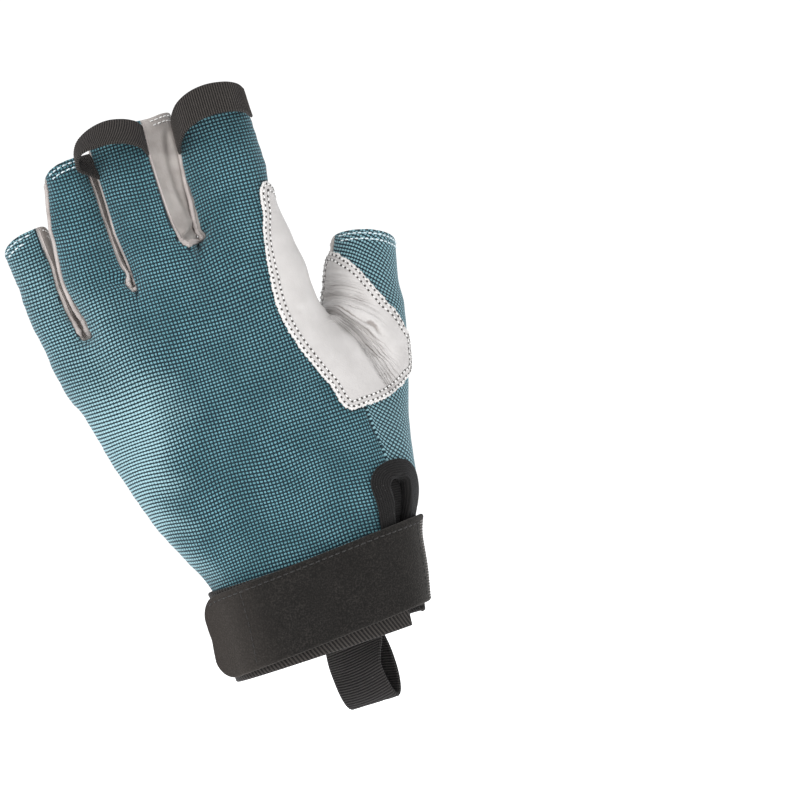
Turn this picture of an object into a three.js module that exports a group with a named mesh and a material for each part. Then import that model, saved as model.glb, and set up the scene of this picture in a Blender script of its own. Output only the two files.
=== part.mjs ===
// A fingerless climbing glove for the left hand, filled out as if it were worn.
// Millimetres. +Z runs from the wrist to the fingers, -Y faces the back of the hand, +X is the thumb's side.
// The origin is the middle of the wrist opening, at the cuff's lower edge.
//
// The glove's outer skin is one smooth form: a palm, four fingers and a thumb that run into each other.
// It is worked out with the fingers spread a little, cut along its seams into cloth and leather panels,
// given a wall, and then the fingers are closed and curled as a relaxed hand holds them.
import * as THREE from "three";

// The hand that the glove is cut for
const HAND_WIDTH = 88;
const HAND_DEPTH = 40;
const HAND_LENGTH = 138;
const FINGER_LENGTH = 46;
const FINGER_WIDTH = 26;
const FINGER_DEPTH = 18;
const THUMB_WIDTH = 23.5;
const THUMB_DEPTH = 22;

// Walls, layers and gaps
const CLOTH = 1.4;
const LEATHER = 1.4;
const PATCH_LEATHER = 1.2;
const ELASTIC = 1.6;
const CUFF_CLOTH = 1.6;
const STRAP_THICKNESS = 2;
const BINDING = 1.2;
const WEBBING = 1.4;
const RIBBON = 1.1;
const GAP = 0.3;
const LAYER_GAP = 0.5;

// Wrist
const CUFF_HEIGHT = 28;
const CUFF_HEM_DROP = 3;
const SHELL_TUCK = 22;
const STRAP_WIDTH = 28;
const STRAP_SLOPE = 0.06;
const STRAP_RISE = 14.5;
const STRAP_TAIL = 9;
const STRAP_CORNER = 7;
const STRAP_DROOP = 0.012;
const NOTCH_TOP = 42;
const NOTCH_WIDTH = 7;
const BINDING_WIDTH = 5;
const LOOP_WIDTH = 20;
const LOOP_DROP = 25;
const LOOP_DEPTH = 11;
const LOOP_OFFSET = 8.5;
const LOOP_SEWN = 23;
const LOOP_SEAT = 3;

// Pull loops on the index and middle fingers
const RIBBON_WIDTH = 11;
const RIBBON_LIFT = 6.5;
const RIBBON_SETBACK = 3;
const RIBBON_RISE = 4.5;

// How wide the forms are rounded where they meet, and where the palm and the fingers end inside each other
const THUMB_BLEND = 12;
const FINGER_BLEND = 8;
const WEB_BLEND = 2.5;
const PALM_END = 8;
const FINGER_END = 6;

// Sections of the hand from the wrist to the knuckles. up: share of HAND_LENGTH. side, half: centre and
// half-width as shares of HAND_WIDTH. front, deep: centre and half-depth as shares of HAND_DEPTH.
const SECTIONS = [
  { up: -0.08, side: 0.01, half: 0.355, front: 0.02, deep: 0.5 },
  { up: 0.0, side: 0.014, half: 0.358, front: 0.02, deep: 0.5 },
  { up: 0.1, side: 0.034, half: 0.372, front: 0.02, deep: 0.5 },
  { up: 0.2, side: 0.045, half: 0.388, front: 0.02, deep: 0.505 },
  { up: 0.29, side: 0.04, half: 0.44, front: 0.02, deep: 0.505 },
  { up: 0.4, side: 0.0, half: 0.476, front: 0.03, deep: 0.49 },
  { up: 0.58, side: -0.066, half: 0.488, front: 0.02, deep: 0.46 },
  { up: 0.74, side: -0.116, half: 0.487, front: -0.01, deep: 0.4 },
  { up: 0.87, side: -0.14, half: 0.493, front: -0.05, deep: 0.34 },
  { up: 1.02, side: -0.155, half: 0.493, front: -0.08, deep: 0.28 },
];
// How square the sections are: 2 is an ellipse
const HAND_SQUARENESS = 2.35;
const FINGER_SQUARENESS = 2.2;
const THUMB_SQUARENESS = 2;

// The four fingers, from the little finger to the index. side, front: where the axis leaves the hand, as
// shares of HAND_WIDTH and HAND_DEPTH. web: share of HAND_LENGTH. long: share of FINGER_LENGTH.
// root, tip: width as shares of FINGER_WIDTH. deep: share of FINGER_DEPTH. lean, spread and curl are in
// degrees: the lean as worn, what it is spread further while the skin is worked out, and the bend to the palm.
// rise and drop tilt the opening: up towards the thumb's side and down towards the palm, for each unit across.
// The seams are angles up from the finger's side: the back cloth ends at thumb_seam and far_seam, and the palm
// leather at thumb_palm and far_palm. Between the two lies the side strip.
const FINGERS = [
  {
    name: "little", side: -0.572, front: 0.03, web: 0.865, long: 0.84, root: 0.48, tip: 0.66, deep: 0.86,
    lean: -3, spread: -9, curl: 16, rise: 0.12, drop: 0.25,
    thumb_seam: 68, far_seam: 0, thumb_palm: 50, far_palm: 0,
  },
  {
    name: "ring", side: -0.4, front: -0.1, web: 0.925, long: 1.06, root: 0.69, tip: 0.65, deep: 0.94,
    lean: 3, spread: -5, curl: 17, rise: 0.2, drop: 0.25,
    thumb_seam: 40, far_seam: 28, thumb_palm: 40, far_palm: 12,
  },
  {
    name: "middle", side: -0.122, front: -0.13, web: 0.98, long: 1.04, root: 0.82, tip: 1.1, deep: 0.98,
    lean: 3, spread: 0, curl: 15, rise: 0.2, drop: 0.25,
    thumb_seam: 66, far_seam: 14, thumb_palm: 36, far_palm: 12,
  },
  {
    name: "index", side: 0.202, front: -0.09, web: 1.005, long: 0.95, root: 0.98, tip: 0.96, deep: 0.98,
    lean: 1, spread: 4.5, curl: 12, rise: 0.2, drop: 0.25,
    thumb_seam: 0, far_seam: 18, thumb_palm: 0, far_palm: 14,
  },
];
// How far the finger form and its seams reach down into the hand, and over what length it bends, as shares of
// FINGER_LENGTH. How its depth changes from root to tip, and how soon its width does.
const FINGER_ROOT = 0.35;
const SEAM_ROOT = 0.5;
const FINGER_BEND = 0.6;
const ROOT_DEEP = 1.12;
const TIP_DEEP = 0.96;
const FINGER_TAPER = 0.7;
// The webs between the fingers run from the little finger's height to the index's, which they reach WEB_LEVEL
// of HAND_WIDTH before it. The seams of the back and palm lie above or below them, in shares of HAND_LENGTH.
const WEB_LEVEL = 0.16;
const WEB_CURVE = 0.8;
const WEB_DROP = 0.02;
const BACK_SEAM_UP = 0.0225;
const PALM_SEAM_UP = -0.0255;
// How firmly a finger's seams keep off the next finger, and how round they run into each other, in millimetres
const SEAM_HOLD = 1.5;
const SEAM_ROUND = 0.5;

// The thumb's axis: shares of HAND_WIDTH, HAND_DEPTH and HAND_LENGTH, with its width and depth as shares of
// THUMB_WIDTH and THUMB_DEPTH. The opening is at the share THUMB_OPEN of the axis, which runs to THUMB_PAST.
const THUMB = [
  { side: 0.318, front: 0.1, up: 0.34, wide: 1.26, deep: 1.35 },
  { side: 0.492, front: 0.3, up: 0.638, wide: 1.34, deep: 1.16 },
  { side: 0.64, front: 0.66, up: 0.945, wide: 0.88, deep: 0.96 },
];
const THUMB_OPEN = 0.915;
const THUMB_PAST = 1.15;

// Where the thumb's blue cloth ends towards the palm. up: share of HAND_LENGTH. side, front: a point of the
// seam as shares of HAND_WIDTH and HAND_DEPTH. turn: the way that the cloth lies from it, in degrees from +X
// towards the back of the hand.
const THUMB_SEAM = [
  { up: 0.0, side: 0.2, front: 0.42, turn: 12 },
  { up: 0.2, side: 0.3, front: 0.44, turn: 16 },
  { up: 0.36, side: 0.42, front: 0.46, turn: 26 },
  { up: 0.52, side: 0.5, front: 0.44, turn: 42 },
  { up: 0.7, side: 0.53, front: 0.44, turn: 62 },
  { up: 1.0, side: 0.62, front: 0.62, turn: 66 },
];
// The seam between the back and the thumb: its place at NOTCH_TOP and at the thumb's crotch, as shares of
// HAND_WIDTH. CROTCH_UP and THUMB_JOIN_UP, where it starts to follow the crotch, are shares of HAND_LENGTH.
// SEAM_TURN is how wide the hand's seams run over into the thumb's.
const THUMB_JOIN_LOW = 0.44;
const THUMB_JOIN_HIGH = 0.385;
const CROTCH_UP = 0.75;
const THUMB_JOIN_UP = 0.69;
const SEAM_TURN = 6;

// Outline of the crotch patch on the back, round its middle. turn: degrees from +X towards +Z.
// reach: share of PATCH_REACH.
const PATCH_REACH = 31;
const PATCH_SIDE = 0.42;
const PATCH_UP = 0.725;
const PATCH_OUTLINE = [
  { turn: 0, reach: 0.57 },
  { turn: 30, reach: 0.56 },
  { turn: 60, reach: 0.68 },
  { turn: 76, reach: 0.75 },
  { turn: 97, reach: 1.6 },
  { turn: 106, reach: 1.32 },
  { turn: 122, reach: 0.95 },
  { turn: 146, reach: 0.68 },
  { turn: 180, reach: 0.52 },
  { turn: 217, reach: 0.53 },
  { turn: 245, reach: 0.7 },
  { turn: 258, reach: 0.96 },
  { turn: 270, reach: 0.97 },
  { turn: 287, reach: 0.98 },
  { turn: 301, reach: 0.95 },
  { turn: 318, reach: 0.82 },
  { turn: 336, reach: 0.7 },
];
// Straight edges of the patch on the palm side: a point of each, as shares of HAND_WIDTH and HAND_LENGTH, and
// the way that the patch lies from it, in degrees from +X towards +Z
const PATCH_EDGES = [
  { side: 0.3, up: 1.05, turn: -92 },
  { side: 0.12, up: 0.84, turn: -17 },
  { side: 0.15, up: 0.7, turn: 66 },
];
// Where the outline on the back runs over into the one on the palm: how far off the middle of the hand or
// thumb, and half the width of the change
const PATCH_OFF = 2;
const PATCH_TURN = 4;

// The glove's main folds and dents: valleys along a line between two points of the skin. side, front, up and
// to_side, to_front, to_up: shares of HAND_WIDTH, HAND_DEPTH and HAND_LENGTH. deep, wide: of HAND_DEPTH.
const FOLDS = [
  // Down over the patch on the thumb side of the crotch, and the crease above it
  { side: 0.45, front: 0.09, up: 0.695, to_side: 0.55, to_front: 0.02, to_up: 0.6, deep: 0.06, wide: 0.1 },
  { side: 0.43, front: 0.3, up: 0.785, to_side: 0.57, to_front: 0.13, to_up: 0.73, deep: 0.035, wide: 0.08 },
  // From the crotch over the palm towards its hollow
  { side: 0.3, front: 0.4, up: 0.665, to_side: 0.136, to_front: 0.5, to_up: 0.45, deep: 0.045, wide: 0.11 },
  { side: 0.34, front: 0.44, up: 0.62, to_side: 0.227, to_front: 0.5, to_up: 0.5, deep: 0.03, wide: 0.08 },
  // Below the slots between the fingers, on the back
  { side: -0.49, front: -0.31, up: 0.877, to_side: -0.466, to_front: -0.33, to_up: 0.78, deep: 0.035, wide: 0.13 },
  { side: -0.26, front: -0.38, up: 0.94, to_side: -0.24, to_front: -0.4, to_up: 0.855, deep: 0.03, wide: 0.11 },
  { side: 0.01, front: -0.25, up: 1.0, to_side: 0.034, to_front: -0.37, to_up: 0.92, deep: 0.025, wide: 0.11 },
];

// Where the notch in the wrist lies: degrees from +X towards the back of the hand
const NOTCH_TURN = 19;
// The strap's root and end and the cuff's parts, in the same degrees
const STRAP_FROM = -6;
const STRAP_TO = 158;
const BASE_FROM = 24;
const BASE_TO = 187.4;
const ELASTIC_FROM = 188.6;
const ELASTIC_TO = 368;
// The palm's half of the wrist, and the wrist loop's bend in its own circle. LOOP_MIDDLE and LOOP_FLAT are
// shares of LOOP_DROP: how low the bend's middle is, and where the loop has left the wrist's curve.
const PALM_FROM = 181;
const PALM_TO = 359;
const LOOP_TURN_FROM = -35;
const LOOP_TURN_TO = 215;
const LOOP_MIDDLE = 0.42;
const LOOP_FLAT = 0.8;

// The pull loops: degrees from the finger's far side over its back, and how far each stands off sideways, as a
// share of RIBBON_LIFT. RIBBON_FOOT is the share of the ribbon over which it leaves the finger.
const PULL_LOOPS = [
  { finger: "middle", from: 14, to: 108, stand: 0.9 },
  { finger: "index", from: 26, to: 178, stand: 0.1 },
];
const RIBBON_FOOT = 0.25;

// The steps of the mesh that the skin is worked out on, and how far it reaches, as shares of the hand's sizes
const STEP = { x: HAND_WIDTH / 20, y: HAND_DEPTH / 8, z: HAND_LENGTH / 18 };
const REACH = { x: [-0.86, 0.86], y: [-0.68, 1.05], z: [-0.06, 1.46] };
// Points nearer to a seam than SNAP steps are drawn onto it, and those within TOUCH steps count as on it
const SNAP = 0.3;
const TOUCH = 0.12;
// How many rows and columns the swept pieces have
const WRIST_COLUMNS = 4;
const CUFF_STEPS = 24;
const STRAP_STEPS = 20;
const TAIL_STEPS = [0.3, 0.5, 0.7, 0.85, 0.95, 1];
const ARC_STEPS = 8;
const LOOP_STEPS = 10;
const LOOP_COLUMNS = [-0.5, -0.3, -0.1, 0.1, 0.3, 0.5];
const RIBBON_STEPS = 18;

const radians = THREE.MathUtils.degToRad;
const degrees = THREE.MathUtils.radToDeg;
const lerp = THREE.MathUtils.lerp;
const clamp = THREE.MathUtils.clamp;
const smoothstep = THREE.MathUtils.smoothstep;
const bezier = (a, b, c, t) => (1 - t) * (1 - t) * a + 2 * t * (1 - t) * b + t * t * c;

function softMin(a, b, width) {
  const near = Math.max(width - Math.abs(a - b), 0) / width;
  return Math.min(a, b) - (near * near * width) / 4;
}
const softMax = (a, b, width) => -softMin(-a, -b, width);

// The place between two values where a test that holds at the first stops to hold
function lastHeld(from, to, holds) {
  let [near, far] = [from, to];
  for (let k = 0; k < 30; k++) {
    const middle = (near + far) / 2;
    if (holds(middle)) near = middle;
    else far = middle;
  }
  return near;
}

// One column of a table at a place between its rows, on a smooth curve through them
function column(table, key, name, at) {
  const last = table.length - 1;
  let i = 0;
  while (i < last - 1 && at > table[i + 1][key]) i++;
  const span = table[i + 1][key] - table[i][key];
  const t = clamp((at - table[i][key]) / span, 0, 1);
  const slope = (k) => {
    const from = table[Math.max(k - 1, 0)];
    const to = table[Math.min(k + 1, last)];
    return ((to[name] - from[name]) / (to[key] - from[key])) * span;
  };
  const start = (2 * t ** 3 - 3 * t * t + 1) * table[i][name] + (t ** 3 - 2 * t * t + t) * slope(i);
  const end = (3 * t * t - 2 * t ** 3) * table[i + 1][name] + (t ** 3 - t * t) * slope(i + 1);
  return start + end;
}

// Distance from a rounded section of half-sizes a and b, measured along the line to its middle
function fromSection(dx, dy, a, b, squareness) {
  const q = (Math.abs(dx / a) ** squareness + Math.abs(dy / b) ** squareness) ** (1 / squareness);
  const r = Math.hypot(dx, dy);
  return q < 1e-6 ? -Math.min(a, b) : r - r / q;
}

function handSection(z) {
  const up = z / HAND_LENGTH;
  return {
    x: HAND_WIDTH * column(SECTIONS, "up", "side", up),
    y: HAND_DEPTH * column(SECTIONS, "up", "front", up),
    a: HAND_WIDTH * column(SECTIONS, "up", "half", up),
    b: HAND_DEPTH * column(SECTIONS, "up", "deep", up),
  };
}

// The webs between the fingers fall away towards the little finger
const webHeight = (x) => {
  const little = FINGERS[0];
  const index = FINGERS[3];
  const t = clamp((x / HAND_WIDTH - little.side) / (index.side - little.side - WEB_LEVEL), 0, 1);
  return HAND_LENGTH * (lerp(little.web, index.web, t ** WEB_CURVE) - WEB_DROP);
};

function palmForm([x, y, z]) {
  const s = handSection(z);
  const side = fromSection(x - s.x, y - s.y, s.a, s.b, HAND_SQUARENESS);
  return softMax(side, z - webHeight(x), PALM_END);
}

// A finger's own frame at a point: across, depth and height along its axis, with the fingers spread
function inFinger(finger, [x, y, z]) {
  const turn = radians(finger.lean + finger.spread);
  const [dx, dz] = [x - HAND_WIDTH * finger.side, z - HAND_LENGTH * finger.web];
  return {
    across: dx * Math.cos(turn) - dz * Math.sin(turn),
    depth: y - HAND_DEPTH * finger.front,
    along: dx * Math.sin(turn) + dz * Math.cos(turn),
    long: FINGER_LENGTH * finger.long,
  };
}

function fingerHalf(finger, along) {
  const t = Math.max(along / (FINGER_LENGTH * finger.long), 0);
  return {
    a: (FINGER_WIDTH / 2) * lerp(finger.root, finger.tip, t ** FINGER_TAPER),
    b: (FINGER_DEPTH / 2) * finger.deep * lerp(ROOT_DEEP, TIP_DEEP, t),
  };
}

function fingerForm(finger, p) {
  const f = inFinger(finger, p);
  const { a, b } = fingerHalf(finger, f.along);
  const side = fromSection(f.across, f.depth, a, b, FINGER_SQUARENESS);
  return softMax(side, -f.along - FINGER_ROOT * FINGER_LENGTH, FINGER_END);
}

const thumbPoint = (t) => [
  HAND_WIDTH * bezier(...THUMB.map((row) => row.side), t),
  HAND_DEPTH * bezier(...THUMB.map((row) => row.front), t),
  HAND_LENGTH * bezier(...THUMB.map((row) => row.up), t),
];

// The place on the thumb's axis nearest to a point, with the frame of the axis there
function inThumb(p) {
  const [first, last] = [thumbPoint(0), thumbPoint(1)];
  const chord = last.map((v, i) => v - first[i]);
  const length2 = chord.reduce((sum, v) => sum + v * v, 0);
  let t = chord.reduce((sum, v, i) => sum + v * (p[i] - first[i]), 0) / length2;
  const step = 0.01;
  const dist2 = (s) => thumbPoint(s).reduce((sum, v, i) => sum + (v - p[i]) ** 2, 0);
  for (let k = 0; k < 5; k++) {
    t = clamp(t, 0, THUMB_PAST);
    const [d0, d1, d2] = [dist2(t - step), dist2(t), dist2(t + step)];
    const bend = Math.max((d0 - 2 * d1 + d2) / step ** 2, length2 / 2);
    t -= (d2 - d0) / (2 * step) / bend;
  }
  t = clamp(t, 0, THUMB_PAST);
  const before = new THREE.Vector3(...thumbPoint(t - step));
  const axis = new THREE.Vector3(...thumbPoint(t + step)).sub(before).normalize();
  const across = new THREE.Vector3().crossVectors(new THREE.Vector3(0, 1, 0), axis).normalize();
  const back = new THREE.Vector3().crossVectors(across, axis);
  const off = new THREE.Vector3(...p).sub(new THREE.Vector3(...thumbPoint(t)));
  return { t, across: off.dot(across), depth: -off.dot(back), along: off.dot(axis) };
}

function thumbForm(p) {
  const f = inThumb(p);
  const a = (THUMB_WIDTH / 2) * bezier(...THUMB.map((row) => row.wide), Math.min(f.t, 1));
  const b = (THUMB_DEPTH / 2) * bezier(...THUMB.map((row) => row.deep), Math.min(f.t, 1));
  const side = fromSection(f.across, f.depth, a, b, THUMB_SQUARENESS);
  return f.t > 0 && f.t < THUMB_PAST ? side : Math.hypot(side + a, f.along) - a;
}

// How far the folds draw the skin in at a point
const FOLD_LINES = FOLDS.map((row) => ({
  line: new THREE.Line3(
    new THREE.Vector3(HAND_WIDTH * row.side, HAND_DEPTH * row.front, HAND_LENGTH * row.up),
    new THREE.Vector3(HAND_WIDTH * row.to_side, HAND_DEPTH * row.to_front, HAND_LENGTH * row.to_up),
  ),
  deep: HAND_DEPTH * row.deep,
  wide: HAND_DEPTH * row.wide,
}));
function foldedIn([x, y, z]) {
  const p = new THREE.Vector3(x, y, z);
  const nearest = new THREE.Vector3();
  return FOLD_LINES.reduce((sum, { line, deep, wide }) => {
    const off = line.closestPointToPoint(p, true, nearest).distanceTo(p) / wide;
    return sum + deep * Math.exp(-off * off);
  }, 0);
}

const fingersForm = (p) => {
  const forms = FINGERS.map((finger) => fingerForm(finger, p));
  return forms.reduce((a, b) => softMin(a, b, WEB_BLEND));
};
const handForm = (p) => softMin(palmForm(p), fingersForm(p), FINGER_BLEND);
const gloveForm = (p) => softMin(handForm(p), thumbForm(p), THUMB_BLEND) + foldedIn(p);

// How fast a function of place grows along each axis
function gradient(form, p, step = 0.4) {
  return [0, 1, 2].map((k) => {
    const [low, high] = [[...p], [...p]];
    low[k] -= step;
    high[k] += step;
    return (form(high) - form(low)) / (2 * step);
  });
}
const outward = (p) => new THREE.Vector3(...gradient(gloveForm, p)).normalize();

// Seams. Each function is positive on one side of its seam, and roughly a distance.
function fingerSeams(finger, p, side) {
  const f = inFinger(finger, p);
  const depth = side * f.depth;
  const [thumb, far] = side < 0 ? [finger.thumb_seam, finger.far_seam] : [finger.thumb_palm, finger.far_palm];
  const plane = (turn, across) => depth * Math.cos(radians(turn)) - across * Math.sin(radians(turn));
  return Math.min(plane(thumb, f.across), plane(far, -f.across), f.along + SEAM_ROOT * FINGER_LENGTH);
}

// The back (side -1) or the palm (side 1) of the hand without its thumb. Each finger's seams hold near it alone.
function handSide(p, side) {
  const flat = side * (p[1] - handSection(p[2]).y);
  const below = webHeight(p[0]) + HAND_LENGTH * (side < 0 ? BACK_SEAM_UP : PALM_SEAM_UP) - p[2];
  const forms = FINGERS.map((finger) => fingerForm(finger, p));
  const nearest = Math.min(...forms);
  const seams = FINGERS.map((finger, i) => fingerSeams(finger, p, side) - SEAM_HOLD * (forms[i] - nearest));
  return seams.reduce((a, b) => softMax(a, b, SEAM_ROUND), Math.min(flat, below));
}

// Positive on the thumb's side of the seam between the back and the thumb
function thumbSide(p) {
  const up = (p[2] - NOTCH_TOP) / (CROTCH_UP * HAND_LENGTH - NOTCH_TOP);
  const plane = p[0] - HAND_WIDTH * lerp(THUMB_JOIN_LOW, THUMB_JOIN_HIGH, up);
  const nearer = handForm(p) - thumbForm(p);
  return Math.min(plane, nearer + 3 * Math.max(0, THUMB_JOIN_UP * HAND_LENGTH - p[2]));
}

// Positive on the cloth side of the thumb's seam towards the palm
function thumbCloth(p) {
  const up = p[2] / HAND_LENGTH;
  const turn = radians(column(THUMB_SEAM, "up", "turn", up));
  const dx = p[0] - HAND_WIDTH * column(THUMB_SEAM, "up", "side", up);
  const dy = p[1] - HAND_DEPTH * column(THUMB_SEAM, "up", "front", up);
  return dx * Math.cos(turn) - dy * Math.sin(turn);
}

const overThumb = (p) => smoothstep(thumbSide(p), -SEAM_TURN, SEAM_TURN);
const isCloth = (p) => lerp(handSide(p, -1), thumbCloth(p), overThumb(p));
const isPalm = (p) => lerp(handSide(p, 1), -thumbCloth(p), overThumb(p));

// Positive below the finger and thumb openings
function insideOpenings(p) {
  const digits = FINGERS.map((finger) => {
    const f = inFinger(finger, p);
    const left = f.long - f.along + finger.rise * f.across - finger.drop * f.depth;
    return { form: fingerForm(finger, p), left };
  });
  const nearest = digits.reduce((a, b) => (b.form < a.form ? b : a));
  const thumbLength = new THREE.Vector3(...thumbPoint(0)).distanceTo(new THREE.Vector3(...thumbPoint(1)));
  const onThumb = thumbForm(p) < Math.min(nearest.form, palmForm(p));
  return onThumb ? (THUMB_OPEN - inThumb(p).t) * thumbLength : nearest.left;
}

// Distance from the middle line of the notch, on the thumb's side of the wrist
function fromNotch([x, y, z]) {
  const s = handSection(z);
  const turn = radians(NOTCH_TURN);
  const across = (x - s.x) * Math.sin(turn) + (y - s.y) * Math.cos(turn);
  return x < s.x ? HAND_WIDTH : Math.hypot(across, Math.max(0, z - NOTCH_TOP));
}
const outsideNotch = (p) => fromNotch(p) - NOTCH_WIDTH / 2;

// Positive where the crotch patch lies
function underPatch(p) {
  const [dx, dz] = [p[0] - HAND_WIDTH * PATCH_SIDE, p[2] - HAND_LENGTH * PATCH_UP];
  const first = PATCH_OUTLINE[0];
  const closed = [...PATCH_OUTLINE, { ...first, turn: first.turn + 360 }];
  const turn = (degrees(Math.atan2(dz, dx)) + 360) % 360;
  const onBack = PATCH_REACH * column(closed, "turn", "reach", turn) - Math.hypot(dx, dz);
  const edges = PATCH_EDGES.map((edge) => {
    const [ex, ez] = [p[0] - HAND_WIDTH * edge.side, p[2] - HAND_LENGTH * edge.up];
    return ex * Math.cos(radians(edge.turn)) + ez * Math.sin(radians(edge.turn));
  });
  const thumb = thumbForm(p) < handForm(p);
  const palmward = thumb ? inThumb(p).depth + PATCH_OFF : p[1] - handSection(p[2]).y - PATCH_OFF;
  const onPalm = thumb ? -palmward : Math.min(...edges);
  return lerp(onBack, onPalm, smoothstep(palmward, -PATCH_TURN, PATCH_TURN));
}

function nearestFinger(p) {
  const away = FINGERS.map((finger) => {
    const turn = radians(finger.lean + finger.spread);
    return Math.abs(HAND_WIDTH * finger.side + Math.tan(turn) * (p.z - HAND_LENGTH * finger.web) - p.x);
  });
  return FINGERS[away.indexOf(Math.min(...away))];
}

// Closes and curls the fingers
function pose(point, finger = nearestFinger(point)) {
  const p = point.clone();
  const f = inFinger(finger, p.toArray());
  const onThumb = thumbForm(p.toArray()) < handForm(p.toArray());
  const share = onThumb ? 0 : smoothstep(f.along, 0, FINGER_BEND * FINGER_LENGTH);
  const root = [HAND_WIDTH * finger.side, HAND_DEPTH * finger.front, HAND_LENGTH * finger.web];
  const pivot = new THREE.Vector3(...root);
  p.sub(pivot);
  p.applyAxisAngle(new THREE.Vector3(0, 1, 0), -radians(finger.spread) * share);
  p.applyAxisAngle(new THREE.Vector3(1, 0, 0), -radians(finger.curl) * share);
  return p.add(pivot);
}

// Every place of a grid, as its three whole numbers
function gridPlaces(from, to) {
  const places = [];
  for (let i = from; i < to[0]; i++) {
    for (let j = from; j < to[1]; j++) {
      for (let k = from; k < to[2]; k++) places.push([i, j, k]);
    }
  }
  return places;
}

// The skin as a mesh: one point in each cell that the surface crosses, one quad across each crossed cell edge
function skinMesh(form) {
  const sizes = [HAND_WIDTH, HAND_DEPTH, HAND_LENGTH];
  const steps = [STEP.x, STEP.y, STEP.z];
  const reach = [REACH.x, REACH.y, REACH.z];
  const low = reach.map((r, n) => r[0] * sizes[n]);
  const count = reach.map((r, n) => Math.ceil(((r[1] - r[0]) * sizes[n]) / steps[n]));
  const place = (at) => at.map((i, n) => low[n] + i * steps[n]);
  const key = ([i, j, k]) => (i * (count[1] + 1) + j) * (count[2] + 1) + k;
  const value = new Map(gridPlaces(0, count.map((c) => c + 1)).map((at) => [key(at), form(place(at))]));

  const corners = gridPlaces(0, [2, 2, 2]);
  const apart = (a, b) => a.reduce((sum, v, n) => sum + Math.abs(v - b[n]), 0);
  const pairs = corners.flatMap((a, i) => corners.slice(i + 1).map((b) => [a, b]));
  const edges = pairs.filter(([a, b]) => apart(a, b) === 1);
  const points = [];
  const cell = new Map();
  for (const at of gridPlaces(0, count)) {
    const crossings = [];
    for (const edge of edges) {
      const [a, b] = edge.map((corner) => corner.map((v, n) => v + at[n]));
      const [va, vb] = [value.get(key(a)), value.get(key(b))];
      if (va < 0 === vb < 0) continue;
      const [pa, pb] = [place(a), place(b)];
      crossings.push(pa.map((v, n) => lerp(v, pb[n], va / (va - vb))));
    }
    if (!crossings.length) continue;
    cell.set(key(at), points.length);
    points.push([0, 1, 2].map((n) => crossings.reduce((sum, p) => sum + p[n], 0) / crossings.length));
  }

  const faces = [];
  const around = [[1, 2], [2, 0], [0, 1]];
  for (const at of gridPlaces(1, count)) {
    const inside = value.get(key(at)) < 0;
    around.forEach(([u, v], n) => {
      const next = at.map((i, m) => i + (m === n));
      if (inside === value.get(key(next)) < 0) return;
      const ring = [[0, 0], [-1, 0], [-1, -1], [0, -1]].map(([du, dv]) => {
        const of = [...at];
        of[u] += du;
        of[v] += dv;
        return cell.get(key(of));
      });
      if (!inside) ring.reverse();
      faces.push({ corners: [ring[0], ring[1], ring[2]] }, { corners: [ring[0], ring[2], ring[3]] });
    });
  }
  return { points: points.map((p) => ontoSkin(ontoSkin(p))), faces };
}

// Moves a point to the skin, half a cell's width at most
function ontoSkin(p) {
  const g = gradient(gloveForm, p);
  const size2 = g.reduce((sum, v) => sum + v * v, 0);
  const move = clamp(gloveForm(p) / size2, -STEP.x / 2, STEP.x / 2);
  return p.map((v, k) => v - move * g[k]);
}

// Draws points that lie near a seam onto it, divides the faces that still cross it, and notes in each face on
// which side of the seam it lies
function cutAlong(mesh, name, seam) {
  const points = mesh.points.map((p) => {
    const value = seam(p);
    if (Math.abs(value) > SNAP * STEP.x) return p;
    const normal = outward(p);
    const slope = new THREE.Vector3(...gradient(seam, p));
    slope.addScaledVector(normal, -slope.dot(normal));
    const size2 = slope.lengthSq();
    return size2 < 0.1 ? p : ontoSkin(p.map((v, k) => v - (value / size2) * slope.getComponent(k)));
  });
  const values = points.map(seam).map((v) => (Math.abs(v) < TOUCH * STEP.x ? 0 : v));
  const middle = new Map();
  const cross = (a, b) => {
    const edge = Math.min(a, b) + "_" + Math.max(a, b);
    if (!middle.has(edge)) {
      const t = values[a] / (values[a] - values[b]);
      middle.set(edge, points.length);
      points.push(points[a].map((v, k) => lerp(v, points[b][k], t)));
      values.push(0);
    }
    return middle.get(edge);
  };
  const faces = [];
  const keep = (corners, face, sign) => faces.push({ corners, inside: { ...face.inside, [name]: sign > 0 } });
  for (const face of mesh.faces) {
    const signs = face.corners.map((v) => Math.sign(values[v]));
    const [low, high] = [Math.min(...signs), Math.max(...signs)];
    if (low * high >= 0) {
      keep(face.corners, face, low + high);
      continue;
    }
    const alone = (n) => signs[n] !== 0 && signs[(n + 1) % 3] !== signs[n] && signs[(n + 2) % 3] !== signs[n];
    const turn = [0, 1, 2].find(alone);
    const [a, b, c] = [0, 1, 2].map((n) => face.corners[(n + turn) % 3]);
    const sign = signs[turn];
    if (values[b] === 0) {
      const m = cross(a, c);
      keep([a, b, m], face, sign);
      keep([b, c, m], face, -sign);
    } else if (values[c] === 0) {
      const m = cross(a, b);
      keep([a, m, c], face, sign);
      keep([m, b, c], face, -sign);
    } else {
      const [m, n] = [cross(a, b), cross(a, c)];
      keep([a, m, n], face, sign);
      keep([m, b, c], face, -sign);
      keep([m, c, n], face, -sign);
    }
  }
  return { points, faces };
}

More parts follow.
